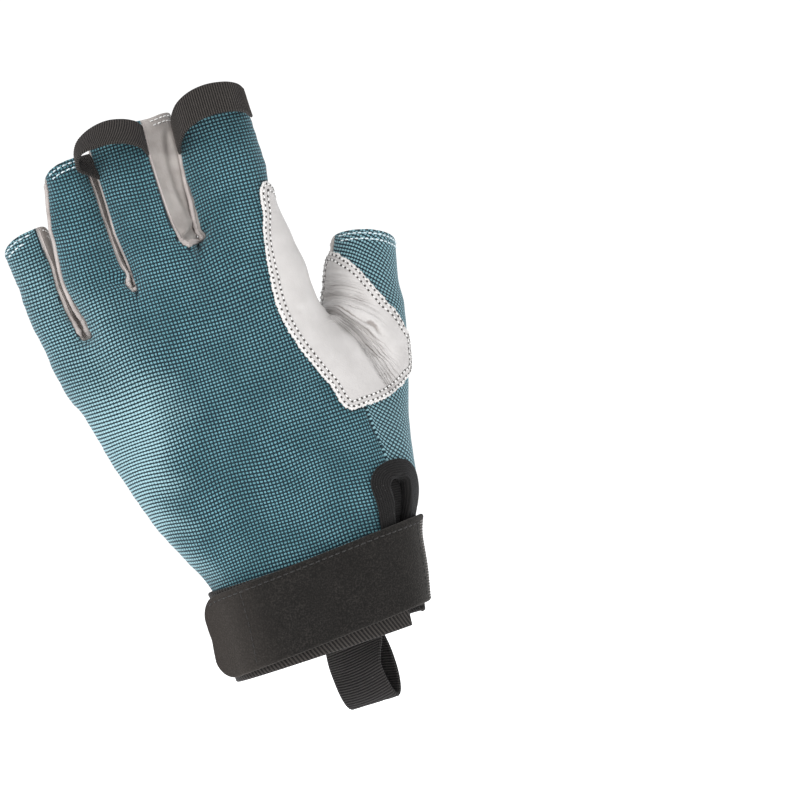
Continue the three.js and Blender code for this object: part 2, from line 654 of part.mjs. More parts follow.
// The pieces that a mesh falls into, where faces hang together by their edges, largest first
function islands(mesh) {
  const group = mesh.faces.map((face, i) => i);
  const root = (i) => (group[i] === i ? i : (group[i] = root(group[i])));
  const owner = new Map();
  mesh.faces.forEach(({ corners }, i) => corners.forEach((a, n) => {
    const b = corners[(n + 1) % 3];
    const edge = Math.min(a, b) + "_" + Math.max(a, b);
    if (owner.has(edge)) group[root(i)] = root(owner.get(edge));
    else owner.set(edge, i);
  }));
  const found = new Map();
  mesh.faces.forEach((face, i) => {
    if (!found.has(root(i))) found.set(root(i), []);
    found.get(root(i)).push(face);
  });
  const largestFirst = [...found.values()].sort((a, b) => b.length - a.length);
  return largestFirst.map((faces) => ({ points: mesh.points, faces }));
}

// A closed wall on an open mesh, from one lift off the skin to another, drawn in by half a gap along its edge
function wall(mesh, from, to) {
  const used = new Map();
  const faces = mesh.faces.map(({ corners }) => corners.map((v) => {
    if (!used.has(v)) used.set(v, used.size);
    return used.get(v);
  }));
  const shared = [...used.keys()];
  const points = shared.map((v) => new THREE.Vector3(...mesh.points[v]));
  const normals = points.map((p) => outward(p.toArray()));
  const sides = faces.flatMap(([a, b, c]) => [[a, b], [b, c], [c, a]]);
  const edges = new Map(sides.map((edge) => [edge.join("_"), edge]));
  const rim = [...edges.values()].filter(([a, b]) => !edges.has(b + "_" + a));
  const inward = points.map(() => new THREE.Vector3());
  for (const [a, b] of rim) {
    const along = points[b].clone().sub(points[a]);
    for (const v of [a, b]) inward[v].add(new THREE.Vector3().crossVectors(normals[v], along).normalize());
  }
  const drawn = points.map((p, i) => p.clone().addScaledVector(inward[i].normalize(), GAP / 2));
  const layer = (lift) => drawn.map((p, i) => pose(p.clone().addScaledVector(normals[i], lift)));
  const all = [...layer(to), ...layer(from)];
  const n = points.length;
  const closed = [...faces, ...faces.map(([a, b, c]) => [n + a, n + c, n + b])];
  for (const [a, b] of rim) {
    if (shared[a] < shared[b]) closed.push([b, a, n + a], [b, n + a, n + b]);
    else closed.push([b, a, n + b], [a, n + a, n + b]);
  }
  return solid(all, closed);
}

// A mesh of a closed body, with its faces turned outwards whichever way its rows ran
function solid(points, faces) {
  const volume = faces.reduce((sum, [a, b, c]) => sum + points[a].dot(points[b].clone().cross(points[c])), 0);
  if (volume < 0) faces.forEach((face) => face.reverse());
  const geometry = new THREE.BufferGeometry();
  geometry.setAttribute("position", new THREE.Float32BufferAttribute(points.flatMap((p) => p.toArray()), 3));
  geometry.setIndex(faces.flat());
  return geometry;
}

// A closed sheet from rows of points on its outer and its inner side
function sheet(outer, inner) {
  const [rows, width] = [outer.length, outer[0].length];
  const id = (i, j, side) => side * rows * width + i * width + j;
  const faces = [];
  const quad = (a, b, c, d) => faces.push([a, b, c], [a, c, d]);
  for (let i = 0; i < rows - 1; i++) {
    for (let j = 0; j < width - 1; j++) {
      quad(id(i, j, 0), id(i + 1, j, 0), id(i + 1, j + 1, 0), id(i, j + 1, 0));
      quad(id(i, j, 1), id(i, j + 1, 1), id(i + 1, j + 1, 1), id(i + 1, j, 1));
    }
    quad(id(i, 0, 0), id(i, 0, 1), id(i + 1, 0, 1), id(i + 1, 0, 0));
    quad(id(i, width - 1, 0), id(i + 1, width - 1, 0), id(i + 1, width - 1, 1), id(i, width - 1, 1));
  }
  for (let j = 0; j < width - 1; j++) {
    quad(id(0, j, 0), id(0, j + 1, 0), id(0, j + 1, 1), id(0, j, 1));
    quad(id(rows - 1, j, 0), id(rows - 1, j, 1), id(rows - 1, j + 1, 1), id(rows - 1, j + 1, 0));
  }
  return solid([...outer.flat(), ...inner.flat()], faces);
}

// The point of the skin in a direction round the wrist, lifted off it. turn: degrees from +X towards the back.
function aroundWrist(turn, z, lift) {
  const s = handSection(z);
  const [dx, dy] = [Math.cos(radians(turn)), -Math.sin(radians(turn))];
  const along = (reach) => [s.x + dx * reach, s.y + dy * reach, z];
  const p = new THREE.Vector3(...along(lastHeld(0, HAND_WIDTH, (reach) => gloveForm(along(reach)) < 0)));
  return p.addScaledVector(outward(p.toArray()).setZ(0).normalize(), lift);
}

// Directions round the wrist at even steps along its outline
function wristTurns(from, to, count) {
  const fine = 90;
  const turns = Array.from({ length: fine + 1 }, (_, i) => lerp(from, to, i / fine));
  const points = turns.map((turn) => aroundWrist(turn, CUFF_HEIGHT / 2, 0));
  const length = [0];
  points.slice(1).forEach((p, i) => length.push(length[i] + p.distanceTo(points[i])));
  return Array.from({ length: count + 1 }, (_, i) => {
    const at = (length[fine] * i) / count;
    const k = clamp(length.findIndex((v) => v >= at - 1e-9), 1, fine);
    return lerp(turns[k - 1], turns[k], (at - length[k - 1]) / (length[k] - length[k - 1]));
  });
}

function cuffPart(from, to, low, thickness) {
  const turns = wristTurns(from, to, CUFF_STEPS);
  const last = WRIST_COLUMNS - 1;
  const heights = Array.from({ length: WRIST_COLUMNS }, (_, j) => lerp(low, CUFF_HEIGHT, j / last));
  const rows = (lift) => turns.map((turn) => heights.map((z) => aroundWrist(turn, z, lift)));
  return sheet(rows(LAYER_GAP + thickness), rows(LAYER_GAP));
}

// The strap lies on the cuff over the back of the wrist, and its free end stands straight off it
function strap() {
  const turns = wristTurns(STRAP_FROM, STRAP_TO, STRAP_STEPS);
  const low = 2 * LAYER_GAP + CUFF_CLOTH;
  const end = aroundWrist(STRAP_TO, CUFF_HEIGHT / 2, low);
  const before = aroundWrist(STRAP_TO - 3, CUFF_HEIGHT / 2, low);
  const way = end.clone().sub(before).normalize();
  const off = new THREE.Vector3(way.y, -way.x, 0);
  const span = (x, inset) => {
    const middle = STRAP_RISE + STRAP_SLOPE * x;
    const half = STRAP_WIDTH / 2 - inset;
    const share = (j) => j / WRIST_COLUMNS;
    return Array.from({ length: WRIST_COLUMNS + 1 }, (_, j) => lerp(middle - half, middle + half, share(j)));
  };
  const onWrist = (turn, lift) => {
    const x = aroundWrist(turn, CUFF_HEIGHT / 2, 0).x;
    return span(x, 0).map((z) => aroundWrist(turn, z, lift));
  };
  const onTail = (out, lift) => {
    const past = Math.max(0, out - (STRAP_TAIL - STRAP_CORNER)) / STRAP_CORNER;
    const inset = STRAP_CORNER * (1 - Math.sqrt(Math.max(0, 1 - past ** 2)));
    const move = way.clone().multiplyScalar(out).addScaledVector(off, -STRAP_DROOP * out * out);
    return span(end.x, inset).map((z) => aroundWrist(STRAP_TO, z, lift).add(move));
  };
  const rows = (lift) => [
    ...turns.map((turn) => onWrist(turn, lift)),
    ...TAIL_STEPS.map((share) => onTail(share * STRAP_TAIL, lift)),
  ];
  return sheet(rows(low + STRAP_THICKNESS), rows(low));
}

// Tape folded round the edge of the notch: up one side, round the top and down the other
function notchBinding() {
  const inner = NOTCH_WIDTH / 2 + GAP;
  const low = CUFF_HEIGHT + 2 * GAP;
  const path = [
    ...[0, 0.5].map((t) => ({ turn: 0, z: lerp(low, NOTCH_TOP, t) })),
    ...Array.from({ length: ARC_STEPS + 1 }, (_, i) => ({ turn: (180 * i) / ARC_STEPS, z: NOTCH_TOP })),
    ...[0.5, 1].map((t) => ({ turn: 180, z: lerp(NOTCH_TOP, low, t) })),
  ];
  const across = aroundWrist(NOTCH_TURN, NOTCH_TOP, 0).sub(aroundWrist(NOTCH_TURN + 180, NOTCH_TOP, 0));
  const radius = across.length() / 2;
  const rows = (lift) => path.map(({ turn, z }) => [0, 0.5, 1].map((share) => {
    const reach = inner + share * BINDING_WIDTH;
    const aside = -reach * Math.cos(radians(turn));
    const up = z === NOTCH_TOP ? reach * Math.sin(radians(turn)) : 0;
    return aroundWrist(NOTCH_TURN - degrees(Math.atan(aside / radius)), z + up, lift);
  }));
  return sheet(rows(LAYER_GAP + BINDING), rows(LAYER_GAP));
}

// Webbing sewn flat on the elastic over the palm, with a loop that hangs below the cuff
function wristLoop() {
  const low = 2 * LAYER_GAP + ELASTIC;
  const bulge = LOOP_DEPTH / 2 - WEBBING / 2;
  const bend = Array.from({ length: LOOP_STEPS - 1 }, (_, i) => {
    const turn = radians(lerp(LOOP_TURN_FROM, LOOP_TURN_TO, (i + 1) / LOOP_STEPS));
    const z = -LOOP_DROP * lerp(LOOP_MIDDLE, 1, Math.sin(turn)) + (WEBBING / 2) * Math.sin(turn);
    return { lift: low + LOOP_DEPTH / 2 - LOOP_SEAT - bulge * Math.cos(turn), z };
  });
  const run = [
    ...[LOOP_SEWN, LOOP_SEWN / 2, 0].map((z) => ({ lift: low + WEBBING / 2, z })),
    ...bend,
    ...[0, LOOP_SEWN / 2, LOOP_SEWN].map((z) => ({ lift: low + 1.5 * WEBBING + GAP, z })),
  ];
  const before = (x) => (turn) => aroundWrist(turn, CUFF_HEIGHT / 2, 0).x < x;
  const across = LOOP_COLUMNS.map((share) => LOOP_OFFSET + share * LOOP_WIDTH);
  const turns = across.map((x) => lastHeld(PALM_FROM, PALM_TO, before(x)));
  const placed = run.map(({ lift, z }) => {
    const curved = turns.map((turn) => aroundWrist(turn, Math.max(z, 1), lift));
    const middle = curved.reduce((sum, p) => sum + p.y, 0) / curved.length;
    const flatten = smoothstep(-z, 0, LOOP_DROP * LOOP_FLAT);
    return curved.map((p, j) => new THREE.Vector3(across[j], lerp(p.y, middle, flatten), z));
  });
  const half = (side) => placed.map((row, i) => row.map((p, j) => {
    const [last, next] = [placed[Math.max(i - 1, 0)][j], placed[Math.min(i + 1, placed.length - 1)][j]];
    const along = next.clone().sub(last).setX(0).normalize();
    return p.clone().add(new THREE.Vector3(0, along.z, -along.y).multiplyScalar((side * WEBBING) / 2));
  }));
  return sheet(half(1), half(-1));
}

// A ribbon that arches over the back of a fingertip, from one side of the finger to the other
function pullLoop({ from, to, stand }, finger) {
  const turn = radians(finger.lean + finger.spread);
  const place = (across, depth, along) => pose(new THREE.Vector3(
    HAND_WIDTH * finger.side + across * Math.cos(turn) + along * Math.sin(turn),
    HAND_DEPTH * finger.front + depth,
    HAND_LENGTH * finger.web - across * Math.sin(turn) + along * Math.cos(turn),
  ), finger);
  const top = FINGER_LENGTH * finger.long - RIBBON_SETBACK;
  const rows = (lift) => Array.from({ length: RIBBON_STEPS + 1 }, (_, i) => {
    const share = i / RIBBON_STEPS;
    const around = radians(lerp(from, to, share));
    const arch = smoothstep(share, 0, RIBBON_FOOT) * smoothstep(1 - share, 0, RIBBON_FOOT);
    return [top - RIBBON_WIDTH, top].map((along) => {
      const { a, b } = fingerHalf(finger, along);
      const side = a + LAYER_GAP + lift + RIBBON_LIFT * arch * stand;
      const back = b + LAYER_GAP + lift + RIBBON_LIFT * arch;
      return place(side * -Math.cos(around), back * -Math.sin(around), along + RIBBON_RISE * arch);
    });
  });
  return sheet(rows(RIBBON), rows(0));
}

const cloth = (color) => new THREE.MeshStandardMaterial({ color, roughness: 0.85, metalness: 0 });
const MATERIALS = {
  blue: cloth(0x3f7482),
  leather: new THREE.MeshStandardMaterial({ color: 0xc4beb9, roughness: 0.6, metalness: 0 }),
  black: cloth(0x2b2927),
  suede: cloth(0x3d3733),
};

const glove = new THREE.Group();
function add(name, geometry, material) {
  const mesh = new THREE.Mesh(geometry, material);
  mesh.name = name;
  glove.add(mesh);
}

function addPanels() {
  const seams = {
    open: insideOpenings,
    sewn: (p) => p[2] - (CUFF_HEIGHT - SHELL_TUCK),
    whole: outsideNotch,
    cloth: isCloth,
    palm: isPalm,
    thumb: thumbSide,
    patch: underPatch,
  };
  let skin = skinMesh(gloveForm);
  for (const [name, seam] of Object.entries(seams)) skin = cutAlong(skin, name, seam);
  const worn = (test) => islands({
    points: skin.points,
    faces: skin.faces.filter(({ inside }) => inside.open && inside.sewn && test(inside)),
  });
  const panel = (test) => worn((inside) => inside.whole && test(inside));
  const [back] = panel((side) => side.cloth && !side.thumb);
  const [thumb] = panel((side) => side.cloth && side.thumb);
  const [palm] = panel((side) => !side.cloth && side.palm);
  const [patch] = worn((side) => side.patch);
  add("back_panel", wall(back, -CLOTH, 0), MATERIALS.blue);
  add("thumb_panel", wall(thumb, -CLOTH, 0), MATERIALS.blue);
  add("palm_panel", wall(palm, -LEATHER, 0), MATERIALS.leather);
  add("crotch_patch", wall(patch, LAYER_GAP, LAYER_GAP + PATCH_LEATHER), MATERIALS.leather);

  const strips = panel((side) => !side.cloth && !side.palm).slice(0, FINGERS.length - 1);
  const sumX = ({ points, faces }) => faces.reduce((sum, f) => sum + points[f.corners[0]][0], 0);
  const middleX = (strip) => sumX(strip) / strip.faces.length;
  strips.sort((a, b) => middleX(a) - middleX(b));
  strips.forEach((strip, i) => {
    add(`side_strip_${FINGERS[i].name}_${FINGERS[i + 1].name}`, wall(strip, -LEATHER, 0), MATERIALS.leather);
  });
}

function addWrist() {
  add("cuff_base", cuffPart(BASE_FROM, BASE_TO, -CUFF_HEM_DROP, CUFF_CLOTH), MATERIALS.black);
  add("elastic_cuff", cuffPart(ELASTIC_FROM, ELASTIC_TO, 0, ELASTIC), MATERIALS.black);
  add("notch_binding", notchBinding(), MATERIALS.black);
  add("wrist_strap", strap(), MATERIALS.suede);
  add("wrist_loop", wristLoop(), MATERIALS.black);
}

function addPullLoops() {
  for (const loop of PULL_LOOPS) {
    const finger = FINGERS.find(({ name }) => name === loop.finger);
    add("pull_loop_" + finger.name, pullLoop(loop, finger), MATERIALS.black);
  }
}

addPanels();
addWrist();
addPullLoops();

export default glove;
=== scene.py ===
"""The looks of a fingerless climbing glove for the left hand, filled out as if it were worn.

The frame's axes: +Z runs from the wrist to the fingers, -Y faces the back of the hand, +X is the
thumb's side. Shapes are worked out in millimetres and turned into metres when a mesh is made. The
glove's skin is the smooth form that the CAD panels follow, worked out on a fine grid, cut along the
same seams, given walls with rounded edges, and dressed with folds, stitches and ribs.
"""

import math

import bpy
import numpy as np
from mathutils import Matrix, Vector
from mathutils.kdtree import KDTree


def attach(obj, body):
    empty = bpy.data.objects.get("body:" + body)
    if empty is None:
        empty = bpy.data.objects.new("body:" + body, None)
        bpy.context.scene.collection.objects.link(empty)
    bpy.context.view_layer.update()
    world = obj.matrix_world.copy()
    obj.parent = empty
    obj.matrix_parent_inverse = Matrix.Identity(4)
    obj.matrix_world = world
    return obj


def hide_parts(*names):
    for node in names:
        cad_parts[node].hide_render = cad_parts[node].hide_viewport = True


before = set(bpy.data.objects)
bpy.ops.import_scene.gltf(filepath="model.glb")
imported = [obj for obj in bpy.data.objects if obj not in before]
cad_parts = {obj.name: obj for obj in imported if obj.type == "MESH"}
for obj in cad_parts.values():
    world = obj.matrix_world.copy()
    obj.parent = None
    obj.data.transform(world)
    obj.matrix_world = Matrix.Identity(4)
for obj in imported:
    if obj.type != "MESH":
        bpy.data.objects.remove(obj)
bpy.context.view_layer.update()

MM = 0.001


def table(columns, rows):
    """The rows of a table, each with the names of its columns."""
    return [dict(zip(columns.split(), row)) for row in rows]


# The hand that the glove is cut for, as in the CAD source
HAND_WIDTH, HAND_DEPTH, HAND_LENGTH = 88, 40, 138
FINGER_LENGTH, FINGER_WIDTH, FINGER_DEPTH = 46, 26, 18
THUMB_WIDTH, THUMB_DEPTH = 23.5, 22
THUMB_BLEND, FINGER_BLEND, WEB_BLEND, PALM_END, FINGER_END = 12, 8, 2.5, 8, 6
HAND_SQUARENESS, FINGER_SQUARENESS, THUMB_SQUARENESS = 2.35, 2.2, 2

# Walls and layers: thicknesses, and the gaps at seams and between layers
CLOTH, LEATHER, PATCH_LEATHER = 1.3, 1.3, 1.1
PATCH_LIFT = 0.25
SEAM_GAP = 0.06
LAYER_GAP = 0.4

# Wrist: cuff, strap, notch and loop. Places round it are in degrees from +X towards the back.
CUFF_HEIGHT, CUFF_HEM_DROP, SHELL_BOTTOM = 28, 3, 6
CUFF_CLOTH, ELASTIC = 1.5, 1.5
STRAP_WIDTH, STRAP_SLOPE, STRAP_RISE = 28, 0.06, 14.5
STRAP_THICKNESS, STRAP_TAIL, STRAP_CORNER, STRAP_DROOP = 2, 9, 7, 0.012
NOTCH_TOP, NOTCH_WIDTH, BINDING_WIDTH, BINDING = 42, 7, 5, 1.3
LOOP_WIDTH, LOOP_DROP, LOOP_DEPTH, LOOP_OFFSET, LOOP_SEWN, LOOP_SEAT = 20, 25, 11, 8.5, 23, 3
WEBBING = 1.4
NOTCH_TURN = 19
STRAP_FROM, STRAP_TO = 3, 158
BASE_FROM, BASE_TO = 24, 187.4
ELASTIC_FROM, ELASTIC_TO = 188.6, 368

# Pull loops
RIBBON, RIBBON_WIDTH = 1.1, 11

# Steps along the grids of straps, cuffs, webbing and ribbons
BAND_STEP, FINE_STEP, WEBBING_STEP, RIBBON_STEP = 0.5, 0.4, 0.2, 0.16

# Sections of the hand, as shares of its sizes: height, centre, half-width, middle depth, half-depth
SECTIONS = table("up side half front deep", [
    (-0.08, 0.01, 0.355, 0.02, 0.5),
    (0.0, 0.014, 0.358, 0.02, 0.5),
    (0.1, 0.034, 0.372, 0.02, 0.5),
    (0.2, 0.045, 0.388, 0.02, 0.505),
    (0.29, 0.04, 0.44, 0.02, 0.505),
    (0.4, 0.0, 0.476, 0.03, 0.49),
    (0.58, -0.066, 0.488, 0.02, 0.46),
    (0.74, -0.116, 0.487, -0.01, 0.4),
    (0.87, -0.14, 0.493, -0.05, 0.34),
    (1.02, -0.155, 0.493, -0.08, 0.28),
])
# Fingers: where each starts, its length, widths and depth as shares, how it leans, spreads and curls
# in degrees, how its opening slants, and where round it its seams run on the back and on the palm
FINGERS = [
    {
        "name": "little",
        "side": -0.572, "front": 0.03, "web": 0.865, "long": 0.84, "root": 0.48, "tip": 0.66,
        "deep": 0.86, "lean": -3, "spread": -9, "curl": 16, "rise": 0.12, "drop": 0.25,
        "thumb_seam": 68, "far_seam": 0, "thumb_palm": 50, "far_palm": 0,
    },
    {
        "name": "ring",
        "side": -0.4, "front": -0.1, "web": 0.925, "long": 1.06, "root": 0.69, "tip": 0.65,
        "deep": 0.94, "lean": 3, "spread": -5, "curl": 17, "rise": 0.2, "drop": 0.25,
        "thumb_seam": 40, "far_seam": 28, "thumb_palm": 40, "far_palm": 12,
    },
    {
        "name": "middle",
        "side": -0.122, "front": -0.13, "web": 0.98, "long": 1.04, "root": 0.82, "tip": 1.1,
        "deep": 0.98, "lean": 3, "spread": 0, "curl": 15, "rise": 0.2, "drop": 0.25,
        "thumb_seam": 66, "far_seam": 14, "thumb_palm": 36, "far_palm": 12,
    },
    {
        "name": "index",
        "side": 0.202, "front": -0.09, "web": 1.005, "long": 0.95, "root": 0.98, "tip": 0.96,
        "deep": 0.98, "lean": 1, "spread": 4.5, "curl": 12, "rise": 0.2, "drop": 0.25,
        "thumb_seam": 0, "far_seam": 18, "thumb_palm": 0, "far_palm": 14,
    },
]
FINGER_ROOT, SEAM_ROOT, FINGER_BEND = 0.35, 0.5, 0.6
ROOT_DEEP, TIP_DEEP, FINGER_TAPER = 1.12, 0.96, 0.7
WEB_LEVEL, WEB_CURVE, WEB_DROP, BACK_SEAM_UP, PALM_SEAM_UP = 0.16, 0.8, 0.02, 0.0225, -0.0255
SEAM_HOLD, SEAM_ROUND = 1.5, 0.5

# The thumb's line, its widths and depths as shares, and the seam between its cloth and its leather
THUMB = table("side front up wide deep", [
    (0.318, 0.1, 0.34, 1.26, 1.35),
    (0.492, 0.3, 0.638, 1.34, 1.16),
    (0.64, 0.66, 0.945, 0.88, 0.96),
])
THUMB_OPEN, THUMB_PAST = 0.915, 1.15
THUMB_SEAM = table("up side front turn", [
    (0.0, 0.2, 0.42, 12),
    (0.2, 0.3, 0.44, 16),
    (0.36, 0.42, 0.46, 26),
    (0.52, 0.5, 0.44, 42),
    (0.7, 0.53, 0.44, 62),
    (1.0, 0.62, 0.62, 66),
])
THUMB_JOIN_LOW, THUMB_JOIN_HIGH, CROTCH_UP, THUMB_JOIN_UP, SEAM_TURN = 0.44, 0.385, 0.75, 0.69, 6

# The patch: its outline on the back as a reach in each direction round a point, and its edges on the
# palm as three straight lines
PATCH_REACH, PATCH_SIDE, PATCH_UP, PATCH_OFF, PATCH_TURN = 31, 0.42, 0.725, 2, 4
PATCH_OUTLINE = table("turn reach", [
    (0, 0.57),
    (30, 0.56),
    (60, 0.65),
    (75, 0.73),
    (81, 0.61),
    (88, 0.58),
    (97, 1.6),
    (106, 1.32),
    (122, 0.95),
    (146, 0.68),
    (180, 0.52),
    (217, 0.53),
    (245, 0.7),
    (258, 0.96),
    (270, 0.97),
    (287, 0.98),
    (301, 0.95),
    (318, 0.82),
    (336, 0.7),
    (360, 0.57),
])
PATCH_EDGES = table("side up turn", [
    (0.3, 1.05, -92),
    (0.12, 0.84, -17),
    (0.15, 0.7, 66),
])
# Main folds, as in the CAD source: from one point to another, in shares of the hand's sizes
FOLDS = table("from to deep wide", [
    ((0.45, 0.09, 0.695), (0.55, 0.02, 0.6), 0.06, 0.1),
    ((0.43, 0.3, 0.785), (0.57, 0.13, 0.73), 0.035, 0.08),
    ((0.3, 0.4, 0.665), (0.136, 0.5, 0.45), 0.045, 0.11),
    ((0.34, 0.44, 0.62), (0.227, 0.5, 0.5), 0.03, 0.08),
    ((-0.49, -0.31, 0.877), (-0.466, -0.33, 0.78), 0.035, 0.13),
    ((-0.26, -0.38, 0.94), (-0.24, -0.4, 0.855), 0.03, 0.11),
    ((0.01, -0.25, 1.0), (0.034, -0.37, 0.92), 0.025, 0.11),
])

# The grid of the skin
GRID = 1.0
GRID_LOW, GRID_HIGH = (-76, -28, -8), (76, 43, 203)

# The weave's pitch from one thread to the next, and its turn on the thumb in degrees
WEAVE = 1.17
THUMB_WEAVE_TURN = 24


# Small helpers


def soft_min(a, b, width):
    near = np.maximum(width - np.abs(a - b), 0) / width
    return np.minimum(a, b) - near * near * width / 4


def soft_max(a, b, width):
    return -soft_min(-a, -b, width)


def smoothstep(value, low, high):
    t = np.clip((value - low) / (high - low), 0, 1)
    return t * t * (3 - 2 * t)


def bezier(a, b, c, t):
    return (1 - t) ** 2 * a + 2 * t * (1 - t) * b + t * t * c


def unit(vectors):
    return vectors / np.maximum(np.linalg.norm(vectors, axis=-1, keepdims=True), 1e-9)


def dot(a, b):
    return (a * b).sum(-1)


def lengths_along(path):
    """How far along a path each of its points lies."""
    return np.concatenate([[0], np.cumsum(np.linalg.norm(np.diff(path, axis=0), axis=1))])


def at_lengths(at, length, path):
    """Points of a path at some lengths, when the length of each of its points is given."""
    return np.stack([np.interp(at, length, path[:, k]) for k in range(3)], -1)


def circle(count, aside, up):
    """Evenly spread directions round each of some axes, from two directions square to each axis."""
    turn = np.arange(count) * 2 * math.pi / count
    return np.cos(turn)[:, None] * aside[:, None] + np.sin(turn)[:, None] * up[:, None]


def edges_of(faces):
    return np.concatenate([faces[:, [0, 1]], faces[:, [1, 2]], faces[:, [2, 0]]])


def column(lines, key, name, at):
    """One column of a table at places between its rows, on a smooth curve through them."""
    keys = np.array([row[key] for row in lines], float)
    rows = np.array([row[name] for row in lines], float)
    last = len(lines) - 1
    i = np.searchsorted(keys[1:last], at, side="left")
    before, after = np.maximum(np.arange(last + 1) - 1, 0), np.minimum(np.arange(last + 1) + 1, last)
    slope = (rows[after] - rows[before]) / (keys[after] - keys[before])
    span = keys[i + 1] - keys[i]
    t = np.clip((at - keys[i]) / span, 0, 1)
    start = (2 * t**3 - 3 * t * t + 1) * rows[i] + (t**3 - 2 * t * t + t) * slope[i] * span
    end = (3 * t * t - 2 * t**3) * rows[i + 1] + (t**3 - t * t) * slope[i + 1] * span
    return start + end


def from_section(dx, dy, a, b, squareness):
    q = (np.abs(dx / a) ** squareness + np.abs(dy / b) ** squareness) ** (1 / squareness)
    return np.hypot(dx, dy) * (1 - 1 / np.maximum(q, 1e-6))


# The form of the skin


def hand_section(z):
    up = z / HAND_LENGTH
    return (
        HAND_WIDTH * column(SECTIONS, "up", "side", up),
        HAND_DEPTH * column(SECTIONS, "up", "front", up),
        HAND_WIDTH * column(SECTIONS, "up", "half", up),
        HAND_DEPTH * column(SECTIONS, "up", "deep", up),
    )


def web_height(x):
    little, index = FINGERS[0], FINGERS[3]
    t = np.clip((x / HAND_WIDTH - little["side"]) / (index["side"] - little["side"] - WEB_LEVEL), 0, 1)
    return HAND_LENGTH * (little["web"] + (index["web"] - little["web"]) * t**WEB_CURVE - WEB_DROP)


def palm_form(p):
    x, y, a, b = hand_section(p[:, 2])
    side = from_section(p[:, 0] - x, p[:, 1] - y, a, b, HAND_SQUARENESS)
    return soft_max(side, p[:, 2] - web_height(p[:, 0]), PALM_END)


def in_finger(finger, p):
    turn = math.radians(finger["lean"] + finger["spread"])
    dx, dz = p[:, 0] - HAND_WIDTH * finger["side"], p[:, 2] - HAND_LENGTH * finger["web"]
    across = dx * math.cos(turn) - dz * math.sin(turn)
    along = dx * math.sin(turn) + dz * math.cos(turn)
    return across, p[:, 1] - HAND_DEPTH * finger["front"], along


def finger_half(finger, along):
    t = np.maximum(along / (FINGER_LENGTH * finger["long"]), 0)
    width = finger["root"] + (finger["tip"] - finger["root"]) * t**FINGER_TAPER
    deep = finger["deep"] * (ROOT_DEEP + (TIP_DEEP - ROOT_DEEP) * t)
    return FINGER_WIDTH / 2 * width, FINGER_DEPTH / 2 * deep


def finger_form(finger, p):
    across, depth, along = in_finger(finger, p)
    a, b = finger_half(finger, along)
    side = from_section(across, depth, a, b, FINGER_SQUARENESS)
    return soft_max(side, -along - FINGER_ROOT * FINGER_LENGTH, FINGER_END)


def thumb_point(t):
    size = np.array([HAND_WIDTH, HAND_DEPTH, HAND_LENGTH])
    rows = [size * (row["side"], row["front"], row["up"]) for row in THUMB]
    return bezier(*rows, np.asarray(t, float)[..., None])


def thumb_length():
    return float(np.linalg.norm(thumb_point(1) - thumb_point(0)))


def in_thumb(p):
    first, last = thumb_point(0), thumb_point(1)
    chord = last - first
    length2 = float(chord @ chord)
    t = (p - first) @ chord / length2
    step = 0.01
    for _ in range(5):
        t = np.clip(t, 0, THUMB_PAST)
        d0, d1, d2 = (((thumb_point(t + off) - p) ** 2).sum(1) for off in (-step, 0, step))
        bend = np.maximum((d0 - 2 * d1 + d2) / step**2, length2 / 2)
        t = t - (d2 - d0) / (2 * step) / bend
    t = np.clip(t, 0, THUMB_PAST)
    axis = unit(thumb_point(t + step) - thumb_point(t - step))
    across = unit(np.cross([0.0, 1.0, 0.0], axis))
    off = p - thumb_point(t)
    return t, dot(off, across), -dot(off, np.cross(across, axis)), dot(off, axis)


def thumb_half(t):
    wide, deep = (bezier(*(row[name] for row in THUMB), np.minimum(t, 1)) for name in ("wide", "deep"))
    return THUMB_WIDTH / 2 * wide, THUMB_DEPTH / 2 * deep


def thumb_form(p):
    t, across, depth, along = in_thumb(p)
    a, b = thumb_half(t)
    side = from_section(across, depth, a, b, THUMB_SQUARENESS)
    return np.where((t > 0) & (t < THUMB_PAST), side, np.hypot(side + a, along) - a)


def off_line(p, start, end):
    """Distance of points to a straight line between two points."""
    start, end = np.asarray(start, float), np.asarray(end, float)
    way = end - start
    t = np.clip((p - start) @ way / float(way @ way), 0, 1)
    return np.linalg.norm(p - start - t[:, None] * way, axis=1)


def folded_in(p):
    size = np.array([HAND_WIDTH, HAND_DEPTH, HAND_LENGTH])
    total = np.zeros(len(p))
    for fold in FOLDS:
        off = off_line(p, size * fold["from"], size * fold["to"]) / (HAND_DEPTH * fold["wide"])
        total += HAND_DEPTH * fold["deep"] * np.exp(-off * off)
    return total


def hand_form(p):
    forms = [finger_form(finger, p) for finger in FINGERS]
    fingers = forms[0]
    for form in forms[1:]:
        fingers = soft_min(fingers, form, WEB_BLEND)
    return soft_min(palm_form(p), fingers, FINGER_BLEND)


def glove_form(p):
    return soft_min(hand_form(p), thumb_form(p), THUMB_BLEND) + folded_in(p)


def gradient(form, p, step=0.4):
    parts = []
    for k in range(3):
        off = np.zeros(3)
        off[k] = step
        parts.append((form(p + off) - form(p - off)) / (2 * step))
    return np.stack(parts, 1)


def outward(p):
    return unit(gradient(glove_form, p))


def onto_skin(p, most=GRID):
    slope = gradient(glove_form, p)
    move = np.clip(glove_form(p) / (slope**2).sum(1), -most, most)
    return p - move[:, None] * slope


# Seams. Each function is positive on one side of its seam, and roughly a distance.


